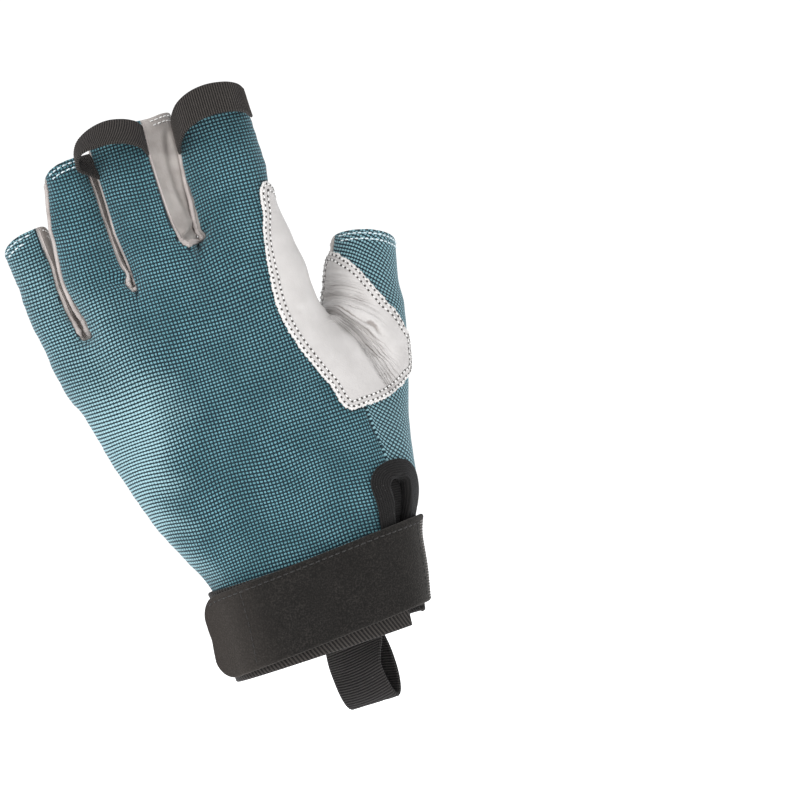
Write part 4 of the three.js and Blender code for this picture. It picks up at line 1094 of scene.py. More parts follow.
STITCH_RINGS = np.array([-1, -0.62, 0, 0.62, 1])
STITCH_LIFTS = np.array([-0.35, 0.35, 0.62, 0.35, -0.35])
STITCH_WIDTHS = np.array([0.55, 0.9, 1, 0.9, 0.55])
STITCH_SIDES = 6
HOLE_SIDES, HOLE_TIPS = 8, (0.06, -0.12)


def capsules(start, end, normal, radius):
    """Short closed threads that come up out of a surface and go down again, as one mesh."""
    middle, half = (start + end) / 2, (end - start) / 2
    along = unit(half)
    aside = unit(np.cross(normal, along))
    up = np.cross(along, aside)
    round_way = circle(STITCH_SIDES, aside, up)
    rings = []
    for share, lift, width in zip(STITCH_RINGS, STITCH_LIFTS, STITCH_WIDTHS):
        centre = middle + share * half + up * (lift * radius)
        rings.append(centre[:, None] + round_way * (radius * width))
    tips = [(middle + s * (half + along * radius * 0.5) - up * (radius * 0.6))[:, None] for s in (-1, 1)]
    points = np.concatenate([*rings, *tips], 1)
    sides, count = STITCH_SIDES, len(STITCH_RINGS)
    faces = []
    for i in range(sides):
        k = (i + 1) % sides
        for r in range(count - 1):
            a, b = r * sides, (r + 1) * sides
            faces += [(a + i, a + k, b + k), (a + i, b + k, b + i)]
        last, tip = (count - 1) * sides, count * sides
        faces += [(k, i, tip), (last + i, last + k, tip + 1)]
    each = points.shape[1]
    faces = np.array(faces)[None] + np.arange(len(points))[:, None, None] * each
    return points.reshape(-1, 3), faces.reshape(-1, 3)


def joined(parts):
    """Meshes as one."""
    points, faces, count = [], [], 0
    for p, f in parts:
        points.append(p)
        faces.append(f + count)
        count += len(p)
    return np.concatenate(points), np.concatenate(faces)


def running(rows, lift, radius, share=0.72):
    """Stitches along rows of points on the skin. lift: how far the surface under them stands off the skin."""
    parts = []
    for row in rows:
        if len(row) < 2:
            continue
        centre, half = (row[1:] + row[:-1]) / 2, (row[1:] - row[:-1]) / 2 * share
        normal = outward(centre)
        raised = centre + normal * (lift + relief(centre))[:, None]
        points, faces = capsules(raised - half, raised + half, normal, radius)
        parts.append((pose(points), faces))
    return joined(parts)


def pinhole_shades(rows, lift, radius):
    """Painted shade of the needle holes at the ends of stitches, as flat dark closed discs just over the
    surface.
    """
    parts = []
    k = np.arange(HOLE_SIDES)
    after, tip = (k + 1) % HOLE_SIDES, np.full(HOLE_SIDES, HOLE_SIDES)
    disc = np.concatenate([np.stack([k, after, tip], 1), np.stack([after, k, tip + 1], 1)])
    for row in rows:
        normal = outward(row)
        along = unit(np.gradient(row, axis=0))
        centre = row + normal * (lift + relief(row))[:, None]
        flat = centre[:, None] + circle(HOLE_SIDES, along, np.cross(normal, along)) * radius
        tips = [(centre + normal * height)[:, None] for height in HOLE_TIPS]
        points = np.concatenate([flat, *tips], 1)
        faces = disc[None] + np.arange(len(row))[:, None, None] * points.shape[1]
        parts.append((pose(points.reshape(-1, 3)), faces.reshape(-1, 3)))
    return joined(parts)


# Bands: straps, webbing, ribbons and cuffs, as closed sheets round a grid of middle points


# Places over a rounded edge, as shares of its width
EDGE_PLACES = np.array([0, 0.07, 0.25, 0.55])


def spaced(length, step, edge):
    """Places along a length: close together at both rounded ends and evenly spread between."""
    start = edge * EDGE_PLACES
    count = max(int(round((length - 2 * edge) / step)), 1)
    return np.concatenate([start, np.linspace(edge, length - edge, count + 1), length - start[::-1]])


def grid_normals(grid):
    return unit(np.cross(np.gradient(grid, axis=0), np.gradient(grid, axis=1)))


def along_grid(grid, axis):
    steps = np.linalg.norm(np.diff(grid, axis=axis), axis=2)
    first = np.zeros_like(steps.take([0], axis))
    return np.concatenate([first, np.cumsum(steps, axis=axis)], axis=axis)


def band(grid, half, over=0.0, under=0.0, flip=False):
    """A closed sheet. over, under: how far its sides stand off the plain thickness at each point."""
    normals = -grid_normals(grid) if flip else grid_normals(grid)
    down, across = along_grid(grid, 0), along_grid(grid, 1)
    edge = np.minimum(np.minimum(down, down[-1:] - down), np.minimum(across, across[:, -1:] - across))
    near = np.clip(edge / half, 0, 1)
    thick = half * np.sqrt(np.clip(1 - (1 - near) ** 2, 0, 1))
    rows, width = grid.shape[:2]
    top = grid + normals * (thick + near * over)[..., None]
    bottom = grid - normals * (thick + near * under)[..., None]
    inner = np.zeros((rows, width), bool)
    inner[1:-1, 1:-1] = True
    low = np.arange(rows * width).reshape(rows, width)
    low[inner] = rows * width + np.arange(inner.sum())
    points = np.concatenate([top.reshape(-1, 3), bottom[inner]])
    high = np.arange(rows * width).reshape(rows, width)
    quads = []
    for ids, turned in ((high, flip), (low, not flip)):
        quad = np.stack([ids[:-1, :-1], ids[1:, :-1], ids[1:, 1:], ids[:-1, 1:]], -1).reshape(-1, 4)
        quads.append(quad[:, ::-1] if turned else quad)
    where = np.stack([down, across, np.zeros_like(down)], -1)
    marks = np.concatenate([where.reshape(-1, 3), where[inner]])
    return points, np.concatenate(quads), marks


def around_wrist(turn, z, lift):
    """Points lifted off the skin round the wrist. turn: degrees from +X towards the back."""
    turn, z, lift = (np.array(v, float) for v in np.broadcast_arrays(turn, z, lift))
    shape = turn.shape
    turn, z, lift = turn.ravel(), z.ravel(), lift.ravel()
    x, y, _, _ = hand_section(z)
    dx, dy = np.cos(np.radians(turn)), -np.sin(np.radians(turn))
    low, high = np.zeros(len(z)), np.full(len(z), float(HAND_WIDTH))
    for _ in range(20):
        reach = (low + high) / 2
        held = glove_form(np.column_stack([x + dx * reach, y + dy * reach, z])) < 0
        low, high = np.where(held, reach, low), np.where(held, high, reach)
    p = np.column_stack([x + dx * low, y + dy * low, z])
    normal = outward(p)
    normal[:, 2] = 0
    return (p + unit(normal) * lift[:, None]).reshape(*shape, 3)


class WristLine:
    """Directions round the wrist at lengths along its outline."""

    def __init__(self, start, end):
        self.turns = np.linspace(start, end, 241)
        points = around_wrist(self.turns, CUFF_HEIGHT / 2, 0)
        self.x = points[:, 0]
        self.lengths = lengths_along(points)
        self.length = self.lengths[-1]

    def turn(self, at):
        return np.interp(at, self.lengths, self.turns)


def cuff_grid(start, end, low, thickness, step):
    line = WristLine(start, end)
    at = spaced(line.length, step, thickness / 2)
    z = low + spaced(CUFF_HEIGHT - low, step, thickness / 2)
    return around_wrist(line.turn(at)[:, None], z[None], LAYER_GAP + thickness / 2)


def strap_grid():
    """The strap over the back of the wrist, with its free end on the little finger's side."""
    low = 2 * LAYER_GAP + CUFF_CLOTH + STRAP_THICKNESS / 2
    line = WristLine(STRAP_FROM, STRAP_TO)
    across = spaced(STRAP_WIDTH, BAND_STEP, STRAP_THICKNESS / 2) - STRAP_WIDTH / 2
    at = spaced(line.length + STRAP_TAIL, BAND_STEP, STRAP_THICKNESS / 2)
    on_wrist = at[at < line.length]
    x = np.interp(on_wrist, line.lengths, line.x)
    z = STRAP_RISE + STRAP_SLOPE * x[:, None] + across
    rows = [around_wrist(line.turn(on_wrist)[:, None], z, low)]
    end, before = around_wrist(np.array([STRAP_TO, STRAP_TO - 3]), CUFF_HEIGHT / 2, low)
    way = unit(end - before)
    off = np.array([way[1], -way[0], 0])
    for out in at[at >= line.length] - line.length:
        past = max(0, out - (STRAP_TAIL - STRAP_CORNER)) / STRAP_CORNER
        inset = STRAP_CORNER * (1 - math.sqrt(max(0, 1 - past**2)))
        share = 1 - inset / (STRAP_WIDTH / 2)
        z = STRAP_RISE + STRAP_SLOPE * end[0] + across * share
        rows.append((around_wrist(STRAP_TO, z, low) + way * out - off * STRAP_DROOP * out * out)[None])
    return np.concatenate(rows)


# The notch's tape: its gap to the notch and to the cuff, how far it goes inside and how far its fold
# stands out
TAPE_GAP, TAPE_ABOVE_CUFF, TAPE_INSIDE, TAPE_FOLD = 0.3, 0.6, 2.6, 0.7


def binding_grid():
    """Tape round the edge of the notch: up one side, round the top and down the other."""
    inner = NOTCH_WIDTH / 2 + TAPE_GAP
    low = CUFF_HEIGHT + TAPE_ABOVE_CUFF
    middle = inner + BINDING_WIDTH / 2
    straight, arc = NOTCH_TOP - low, math.pi * middle
    at = spaced(2 * straight + arc, FINE_STEP, BINDING / 2)
    turn = np.degrees(np.clip(at - straight, 0, arc) / middle)
    z = NOTCH_TOP - np.maximum(straight - at, 0) - np.maximum(at - straight - arc, 0)
    outer_side = spaced(BINDING_WIDTH, FINE_STEP, BINDING / 2)[::-1]
    fold = np.radians(np.arange(15, 180, 15))
    half = (LAYER_GAP + BINDING / 2) + CLOTH / 2
    inner_side = np.arange(0, TAPE_INSIDE, FINE_STEP)
    reach = inner + np.concatenate([outer_side, -TAPE_FOLD * np.sin(fold), inner_side])
    lift = np.concatenate([outer_side * 0 + half, half * np.cos(fold), inner_side * 0 - half]) - CLOTH / 2
    ends = around_wrist(np.array([NOTCH_TURN, NOTCH_TURN + 180]), NOTCH_TOP, 0)
    radius = float(np.linalg.norm(ends[0] - ends[1])) / 2
    aside = -reach * np.cos(np.radians(turn))[:, None]
    up = reach * np.sin(np.radians(turn))[:, None]
    turns = NOTCH_TURN - np.degrees(np.arctan(aside / radius))
    return around_wrist(turns, z[:, None] + up, lift[None])


# The wrist loop's twist, where it starts and ends its round, and how that round hangs
LOOP_TWIST = math.radians(32)
LOOP_ROUND = (-35, 215)
LOOP_MIDDLE, LOOP_HALF = 0.42, 0.58


def loop_grid():
    """Webbing sewn flat on the elastic over the palm, with a loop that hangs below the cuff."""
    low = 2 * LAYER_GAP + ELASTIC
    bulge = LOOP_DEPTH / 2 - WEBBING / 2
    turn = np.radians(np.linspace(*LOOP_ROUND, 121)[1:-1])
    z = -LOOP_DROP * (LOOP_MIDDLE + LOOP_HALF * np.sin(turn)) + WEBBING / 2 * np.sin(turn)
    lift = low + LOOP_DEPTH / 2 - LOOP_SEAT - bulge * np.cos(turn)
    flat = np.linspace(LOOP_SEWN, 0, 12)
    z = np.concatenate([flat, z, flat[::-1]])
    lift = np.concatenate([flat * 0 + low + WEBBING / 2, lift, flat * 0 + low + 1.5 * WEBBING + 0.3])
    line = WristLine(181, 359)
    across = LOOP_OFFSET + spaced(LOOP_WIDTH, BAND_STEP, WEBBING / 2) - LOOP_WIDTH / 2
    order = np.argsort(line.x)
    turns = np.interp(across, line.x[order], line.turns[order])
    curved = around_wrist(turns[None], np.maximum(z, 1)[:, None], lift[:, None])
    middle = curved[..., 1].mean(1, keepdims=True)
    flatten = smoothstep(-z, 0, LOOP_DROP * 0.8)[:, None]
    y = curved[..., 1] + (middle - curved[..., 1]) * flatten
    coarse = np.stack([np.broadcast_to(across, y.shape), y, np.broadcast_to(z[:, None], y.shape)], -1)
    width = coarse.shape[1]
    kernel = np.array([1, 2, 3, 2, 1]) / 9
    length = lengths_along(coarse[:, width // 2])
    at = spaced(length[-1], WEBBING_STEP, WEBBING / 2)
    fine = np.stack([at_lengths(at, length, coarse[:, j]) for j in range(width)], 1)
    ends = fine[[0, -1]]
    for _ in range(6):
        padded = np.concatenate([fine[:1], fine[:1], fine, fine[-1:], fine[-1:]])
        fine = sum(kernel[k] * padded[k : k + len(fine)] for k in range(5))
        fine[[0, -1]] = ends
    hangs = smoothstep(-fine[..., 2], 0, 14)
    turn = -LOOP_TWIST * hangs
    x, y = fine[..., 0] - LOOP_OFFSET, fine[..., 1] - fine[:, :, 1].mean()
    twisted = fine.copy()
    twisted[..., 0] = LOOP_OFFSET + x * np.cos(turn) - y * np.sin(turn)
    twisted[..., 1] += x * np.sin(turn) + y * np.cos(turn) - y
    return twisted


# Pull loops over the fingertips, as posed: the share of the way round, a point of the ribbon's
# upper edge (x, y, z) and one of its lower edge
PULL_LOOPS = {
    "middle": [
        (0, -21.6, 4, 178, -21.5, 0.5, 167.8),
        (0.12, -25, 3, 178, -25, -4.5, 170.6),
        (0.22, -27.8, 0, 178.2, -28, -9, 173.4),
        (0.36, -25.8, -3.5, 182.3, -26, -13, 177.6),
        (0.5, -21, -6, 185, -21.2, -14, 178.4),
        (0.65, -15, -7, 186, -15.2, -14, 178),
        (0.8, -9.5, -7, 185, -9.9, -13, 176.4),
        (0.92, -5.4, -5, 183, -6, -9.8, 173.6),
        (1, -3.9, -2.4, 181, -4.8, -5.6, 171),
    ],
    "index": [
        (0, 5.8, 0, 178, 5.2, -3, 168),
        (0.15, 6.6, -5, 180.7, 6, -8, 170.2),
        (0.3, 9.6, -8.6, 184.2, 9.2, -11.6, 173.8),
        (0.45, 14.5, -9.8, 186.4, 14.3, -12.8, 175.9),
        (0.6, 20.5, -10, 187, 20.4, -13, 176.5),
        (0.75, 26.4, -9.3, 186, 26.2, -12.2, 175.6),
        (0.88, 30, -5.8, 184.4, 29.8, -8.4, 174.2),
        (1, 31.5, -0.5, 182.4, 31.5, -2.6, 172.2),
    ],
}


def ribbon_grid(rows):
    rows = table("share x y z low_x low_y low_z", rows)
    share = np.linspace(0, 1, 401)
    upper, lower = (
        np.stack([column(rows, "share", name, share) for name in names], -1)
        for names in (("x", "y", "z"), ("low_x", "low_y", "low_z"))
    )
    length = lengths_along((upper + lower) / 2)
    at = np.interp(spaced(length[-1], RIBBON_STEP, RIBBON / 2), length, share)
    upper, lower = (at_lengths(at, share, edge) for edge in (upper, lower))
    across = spaced(RIBBON_WIDTH, FINE_STEP, RIBBON / 2) / RIBBON_WIDTH
    return lower[:, None] + (upper - lower)[:, None] * across[None, :, None]


# Materials


def darker(color, share):
    return tuple(share * c for c in color[:3]) + (1,)


class Nodes:
    """The nodes of a material or a world."""

    def __init__(self, owner):
        owner.use_nodes = True
        self.owner, self.tree = owner, owner.node_tree
        self.tree.nodes.clear()

    def add(self, kind, inputs=None, **settings):
        node = self.tree.nodes.new(kind)
        for key, value in settings.items():
            setattr(node, key, value)
        for key, value in (inputs or {}).items():
            if isinstance(value, bpy.types.NodeSocket):
                self.tree.links.new(value, node.inputs[key])
            else:
                node.inputs[key].default_value = value
        return node

    def math(self, operation, a, b=0.0, c=0.0):
        return self.add("ShaderNodeMath", {0: a, 1: b, 2: c}, operation=operation).outputs[0]

    def plus(self, a, b):
        return self.math("ADD", a, b)

    def minus(self, a, b):
        return self.math("SUBTRACT", a, b)

    def times(self, a, b):
        return self.math("MULTIPLY", a, b)

    def ramp(self, value, low, high, start=0.0, end=1.0):
        inputs = {"Value": value, "From Min": low, "From Max": high, "To Min": start, "To Max": end}
        return self.add("ShaderNodeMapRange", inputs, interpolation_type="SMOOTHSTEP").outputs[0]

    def mix(self, share, a, b):
        return self.add("ShaderNodeMix", {0: share, 6: a, 7: b}, data_type="RGBA").outputs[2]

    def stain(self, color, mask, share, other):
        """A colour that turns towards another one where a mask shows."""
        return self.mix(self.times(mask, share), color, other)

    def mark(self, name, output):
        return self.add("ShaderNodeAttribute", attribute_name=name).outputs[output]

    def place(self):
        """Places in millimetres."""
        where = self.add("ShaderNodeNewGeometry").outputs["Position"]
        return self.add("ShaderNodeVectorMath", {0: where, 3: 1 / MM}, operation="SCALE").outputs[0]

    def noise(self, size, detail=2.0, where=None):
        inputs = {"Vector": where or self.place(), "Scale": 1 / size, "Detail": detail}
        return self.add("ShaderNodeTexNoise", inputs).outputs["Fac"]

    def cells(self, size, feature="F1"):
        inputs = {"Vector": self.place(), "Scale": 1 / size}
        return self.add("ShaderNodeTexVoronoi", inputs, feature=feature).outputs["Distance"]

    def bump(self, height, distance, strength=1.0, normal=None):
        inputs = {"Height": height, "Distance": distance * MM, "Strength": strength}
        if normal:
            inputs["Normal"] = normal
        return self.add("ShaderNodeBump", inputs).outputs[0]

    def finish(self, color, roughness, normal, sheen=0.0, tint=(1, 1, 1, 1), specular=0.3):
        inputs = {
            "Base Color": color, "Roughness": roughness, "Normal": normal, "Sheen Weight": sheen,
            "Sheen Roughness": 0.5, "Sheen Tint": tint, "Specular IOR Level": specular,
        }
        shader = self.add("ShaderNodeBsdfPrincipled", inputs)
        self.add("ShaderNodeOutputMaterial", {"Surface": shader.outputs[0]})
        return self.owner


def new_look(name):
    return Nodes(bpy.data.materials.new(name))


def woven(name):
    """Cloth of light threads over a dark ground: dots by the thumb, level lines on the other side."""
    m = new_look(name)
    u, v = m.add("ShaderNodeSeparateXYZ", {0: m.mark("threads", "Vector")}).outputs[:2]
    wave_u = m.math("ABSOLUTE", m.math("SINE", m.times(u, math.pi)))
    wave_v = m.math("ABSOLUTE", m.math("SINE", m.times(v, math.pi)))
    over = m.math("ABSOLUTE", m.math("MODULO", m.plus(m.math("FLOOR", u), m.math("FLOOR", v)), 2.0))
    level = m.mark("level", "Fac")
    steep_u = m.math("MULTIPLY_ADD", over, 0.5, 0.45)
    steep_u = m.times(steep_u, m.minus(1.0, m.times(level, 0.75)))
    steep_v = m.math("MULTIPLY_ADD", over, -0.3, 1.0)
    thread = m.times(m.math("POWER", wave_u, steep_u), m.math("POWER", wave_v, steep_v))
    fuzz = m.noise(0.35, 2.0)
    # Soft patches of lighter and darker blue at the size of folds: painted light and shade of folds, laid on
    # as noise
    fold_shade_patches = m.noise(14.0, 3.0)
    thread = m.plus(thread, m.times(m.minus(fuzz, 0.5), 0.35))
    light = m.mix(m.ramp(fold_shade_patches, 0.35, 0.65), (0.068, 0.185, 0.215, 1), (0.105, 0.25, 0.29, 1))
    light = m.mix(level, light, (0.27, 0.44, 0.48, 1))
    color = m.mix(m.ramp(thread, 0.5, 0.8), (0.003, 0.014, 0.021, 1), light)
    normal = m.bump(thread, 0.3, 0.7)
    rough = m.ramp(thread, 0.2, 0.9, 0.95, 0.7)
    return m.finish(color, rough, normal, 0.25, (0.7, 0.9, 1, 1), 0.25)


def grained(name, light, dark, gloss=0.55, wrinkled=False):
    """Mottled fine-grained leather; when wrinkled, painted shade in the wrinkle valleys leaves the high
    places paler, and the raw edge is worn paler.
    """
    m = new_look(name)
    mottled = m.noise(7.0, 4.0)
    wide = m.noise(28.0, 2.0)
    pores = m.cells(0.5)
    wrinkles = m.cells(1.9, "SMOOTH_F1")
    color = m.mix(m.ramp(mottled, 0.3, 0.7), dark, light)
    color = m.stain(color, m.ramp(wide, 0.45, 0.75), 0.25, darker(dark, 0.86))
    color = m.stain(color, m.ramp(pores, 0.32, 0.0), 0.12, (0.25, 0.2, 0.17, 1))
    normal = m.bump(pores, 0.06, 0.5)
    normal = m.bump(wrinkles, 0.22, 0.3, normal)
    normal = m.bump(m.noise(3.2, 3.0), 0.25, 0.35, normal)
    if wrinkled:
        mark = m.add("ShaderNodeSeparateXYZ", {0: m.mark("wrinkle", "Vector")}).outputs
        bent = m.plus(mark[0], m.times(m.noise(3.0), 0.8))
        wide_line = m.math("COSINE", m.times(mark[0], 2 * math.pi))
        fine_line = m.math("COSINE", m.times(bent, 4.6 * math.pi))
        lines = m.plus(m.times(wide_line, 0.55), m.times(fine_line, 0.45))
        lines = m.times(lines, mark[1])
        # Painted shade: darker along the wrinkle lines, where the fan's relief and the bump make valleys
        color = m.stain(color, m.ramp(lines, 0.0, 0.8), 0.72, (0.15, 0.125, 0.11, 1))
        color = m.stain(color, mark[2], 0.45, (0.7, 0.68, 0.66, 1))
        normal = m.bump(m.times(lines, -1.0), 0.22, 0.9, normal)
    rough = m.ramp(mottled, 0.25, 0.75, gloss + 0.1, gloss - 0.08)
    return m.finish(color, rough, normal, 0.12, (1, 0.97, 0.93, 1), 0.35)


def brushed(name, dark, light, size=0.7):
    """Brushed cloth with pale flecks of lint."""
    m = new_look(name)
    fluff = m.noise(size, 5.0)
    fleck = m.noise(size * 0.55, 2.0)
    shade = m.noise(11.0, 2.0)
    color = m.mix(m.ramp(fluff, 0.4, 0.75), dark, light)
    color = m.stain(color, m.ramp(fleck, 0.68, 0.8), 0.3, (0.16, 0.145, 0.135, 1))
    color = m.stain(color, m.ramp(shade, 0.4, 0.7), 0.3, darker(dark, 0.6))
    across = m.add("ShaderNodeSeparateXYZ", {0: m.place()}).outputs[0]
    color = m.mix(m.ramp(across, -8, -36, 0, 0.36), color, (0.06, 0.05, 0.044, 1))
    normal = m.bump(fluff, 0.35, 0.8)
    return m.finish(color, m.ramp(fluff, 0.3, 0.7, 0.98, 0.85), normal, 0.12, (0.9, 0.85, 0.8, 1), 0.1)


def ribbed(name, dark, light, along, across, pitch):
    """Woven tape whose yarns run across its ribs. along, across: the way that counts the ribs."""
    m = new_look(name)
    x, y = m.add("ShaderNodeSeparateXYZ", {0: m.mark("place", "Vector")}).outputs[:2]
    ribs = m.plus(m.times(x, along), m.times(y, across))
    rib = m.math("SINE", m.times(ribs, 2 * math.pi / pitch))
    other = m.minus(m.times(x, across), m.times(y, along))
    yarn = m.math("SINE", m.times(other, 2 * math.pi / 0.55))
    fuzz = m.noise(0.3, 3.0)
    height = m.plus(m.times(rib, 0.5), m.times(yarn, 0.22))
    height = m.plus(height, m.times(fuzz, 0.8))
    color = m.mix(m.ramp(height, -0.2, 1.1), dark, light)
    color = m.stain(color, m.ramp(m.noise(0.5, 2.0), 0.68, 0.8), 0.4, (0.2, 0.19, 0.18, 1))
    normal = m.bump(height, 0.16, 0.8)
    return m.finish(color, m.ramp(fuzz, 0.3, 0.7, 0.85, 0.65), normal, 0.06, (0.9, 0.9, 0.95, 1), 0.15)


def thread(name, light, dark):
    m = new_look(name)
    twist = m.cells(0.35)
    color = m.mix(m.ramp(m.noise(0.6, 2.0), 0.3, 0.7), dark, light)
    normal = m.bump(twist, 0.1, 0.8)
    return m.finish(color, m.ramp(twist, 0.1, 0.5, 0.55, 0.8), normal, 0.2, (1, 1, 1, 1), 0.35)


# The pitch of each tape's ribs, and how far its slanting ribs go along for a millimetre across
ELASTIC_PITCH, WEBBING_PITCH, RIBBON_PITCH, KNIT_PITCH = 1.65, 0.9, 0.8, 1.3
ELASTIC_SLANT, KNIT_SLANT = 0.7, 0.5

BLUE = woven("blue_weave")
PALM_LEATHER = grained("palm_leather", (0.42, 0.392, 0.37, 1), (0.37, 0.343, 0.322, 1))
PATCH_SKIN = grained("patch_leather", (0.49, 0.47, 0.458, 1), (0.44, 0.42, 0.408, 1), 0.5, True)
# The strips between the fingers: the palm's leather painted darker, as painted shade for the slots they lie
# in
SHADED_STRIP_LEATHER = grained("strip_leather_shaded", (0.35, 0.32, 0.3, 1), (0.25, 0.225, 0.21, 1), 0.6)
LIP_LEATHER = grained("lip_leather", (0.42, 0.375, 0.355, 1), (0.3, 0.265, 0.25, 1), 0.65)
SUEDE = brushed("brushed_strap", (0.008, 0.0075, 0.007, 1), (0.026, 0.023, 0.021, 1), 0.5)
ELASTIC_TAPE = ribbed("ribbed_elastic", (0.006, 0.006, 0.006, 1), (0.05, 0.046, 0.044, 1),
                      1.0, ELASTIC_SLANT, ELASTIC_PITCH)
WEBBING_TAPE = ribbed("ribbed_webbing", (0.006, 0.0055, 0.0055, 1), (0.055, 0.05, 0.048, 1),
                      1.0, 0.0, WEBBING_PITCH)
RIBBON_TAPE = ribbed("ribbed_ribbon", (0.003, 0.0027, 0.0024, 1), (0.053, 0.0455, 0.041, 1),
                     1.0, 0.0, RIBBON_PITCH)
PLAIN_TAPE = ribbed("plain_tape", (0.002, 0.0018, 0.0017, 1), (0.0115, 0.0105, 0.01, 1), 0.0, 1.0, 0.8)
KNIT_TAPE = ribbed("knit_tape", (0.003, 0.0028, 0.0026, 1), (0.05, 0.044, 0.04, 1),
                   1.0, -KNIT_SLANT, KNIT_PITCH)
PALE_THREAD = thread("pale_thread", (0.78, 0.77, 0.75, 1), (0.55, 0.54, 0.53, 1))
BLUE_THREAD = thread("blue_thread", (0.66, 0.74, 0.76, 1), (0.4, 0.5, 0.54, 1))
OVERLOCK_THREAD = thread("overlock_thread", (0.32, 0.3, 0.28, 1), (0.16, 0.145, 0.135, 1))
DARK_THREAD = thread("dark_thread", (0.022, 0.02, 0.019, 1), (0.006, 0.0055, 0.005, 1))
# Painted shade of the needle holes: the dark colour of the discs at the stitch ends
HOLE_SHADE = thread("needle_hole_shade", (0.06, 0.05, 0.045, 1), (0.03, 0.025, 0.022, 1))


# The skin, cut into its panels

SEAMS = {
    "open": inside_openings,
    "sewn": above_cuff,
    "whole": outside_notch,
    "cloth": is_cloth,
    "palm": is_palm,
    "thumb": thumb_side,
    "patch": under_patch,
}


net_points, net_faces = surface_net(glove_form, GRID_LOW, GRID_HIGH, GRID)
net_points = onto_skin(onto_skin(net_points))


def cut_skin(*names):
    cut = net_points, net_faces, {}
    for name in names:
        cut = cut_along(cut, name, SEAMS[name])
    return cut


points, faces, marks = cut_skin("open", "sewn", "whole", "cloth", "palm", "thumb")
whole = marks["open"] & marks["sewn"] & marks["whole"]


def sewn_panel(mask, keep=1):
    return Panel(points, np.concatenate(largest(faces[mask], keep)))


back = sewn_panel(whole & marks["cloth"] & ~marks["thumb"], 2)
thumb = sewn_panel(whole & marks["cloth"] & marks["thumb"])
palm = sewn_panel(whole & ~marks["cloth"] & marks["palm"])
under_points, under_faces, under = cut_skin("open", "sewn", "patch")
under_faces = largest(under_faces[under["open"] & under["sewn"] & under["patch"]])[0]
patch = Panel(*finer(*compact(under_points, under_faces)))
STRIP_NAMES = ("little_ring", "ring_middle", "middle_index")
# The strip between ring and middle has a leg on each finger
legs = largest(faces[whole & ~marks["cloth"] & ~marks["palm"]], 4)
legs.sort(key=lambda leg: points[leg, 0].mean())
strips = [Panel(points, leg) for leg in (legs[0], np.concatenate(legs[1:3]), legs[3])]

# Each seam draws the surface in a little unevenly, and the patch's stitches lie in grooves. HEM_ROWS
# and PATCH_ROWS say how far each row of stitches keeps off the edge.
HEM_ROWS = (2.0, 4.4)
PATCH_ROWS = (1.0, 2.7)
PUCKER, PUCKER_SIZE, PUCKER_REACH = 0.13, 3.2, 2.2
GROOVE, GROOVE_HALF = 0.14, 0.55
# The patch's raw edge: how far in it shows paler, how ragged it is, and how much it stands up
RAW_EDGE, RAGGED, PATCH_PAD = 0.55, 0.32, 0.05


def near_opening(p):
    return np.abs(inside_openings(p)) < 0.4


def puckered(panel, rows=()):
    near_rim = np.exp(-((panel.off_rim / PUCKER_REACH) ** 2))
    surface = relief(panel.points) + PUCKER * noise(panel.points, PUCKER_SIZE, 5) * near_rim
    for off in rows:
        surface -= GROOVE * np.exp(-(((panel.off_rim - off) / GROOVE_HALF) ** 2))
    return surface


def add_panel(name, node, panel, low, high, material, slot, surface, marks=None, ragged=0.0):
    layers = {key: layered(panel, values) for key, values in (marks or {}).items()}
    return new_piece(name, node, *wall(panel, low, high, surface, ragged), material, slot, layers)


# How far towards the thumb the weave's level lines reach at some heights, how softly they end, and
# between which heights they get weaker
LEVEL_SOFT, LEVEL_WEAK = (-9, 12), (88, 112)
LEVEL_EDGE = [(30, -31), (55, -32), (70, -28), (88, -20), (110, -26), (130, -32), (150, -56)]


def level_share(p):
    """How far the weave's dots have merged into level lines: most on the little finger's side."""
    edge = np.interp(p[:, 2], *np.array(LEVEL_EDGE, float).T) + 3 * noise(p, 18, 9)
    return smoothstep(edge - p[:, 0], *LEVEL_SOFT) * (1 - 0.5 * smoothstep(p[:, 2], *LEVEL_WEAK))


add_panel("back_cloth", "back_panel", back, -CLOTH, 0, BLUE, "blue_fabric", puckered(back),
          {"threads": back_threads(back.points), "level": level_share(back.points)})
add_panel("thumb_cloth", "thumb_panel", thumb, -CLOTH, 0, BLUE, "blue_fabric", puckered(thumb),
          {"threads": thumb_threads(thumb.points), "level": np.full(len(thumb.points), 0.5)})
add_panel("palm_hide", "palm_panel", palm, -LEATHER, 0, PALM_LEATHER, "palm_leather", puckered(palm))
wrinkles = np.column_stack([*fan(patch.points), np.exp(-((patch.off_rim / RAW_EDGE) ** 2))])
patch_surface = puckered(patch, PATCH_ROWS) + fan_relief(patch.points) + PATCH_PAD
add_panel("crotch_hide", "crotch_patch", patch, PATCH_LIFT, PATCH_LIFT + PATCH_LEATHER, PATCH_SKIN,
          "patch_leather", patch_surface, {"wrinkle": wrinkles}, RAGGED)
for strip, name in zip(strips, STRIP_NAMES):
    add_panel("strip_" + name, "side_strip_" + name, strip, -LEATHER, 0, SHADED_STRIP_LEATHER, "palm_leather",
              puckered(strip))

# Wrist pieces

# Once round in radians: a rib is one wave
RIB = 2 * math.pi


def add_band(name, node, grid, half, material, slot, over=0.0, under=0.0, flip=False):
    shape, quads, where = band(grid, half, over, under, flip)
    return new_piece(name, node, shape, quads, material, slot, {"place": where})


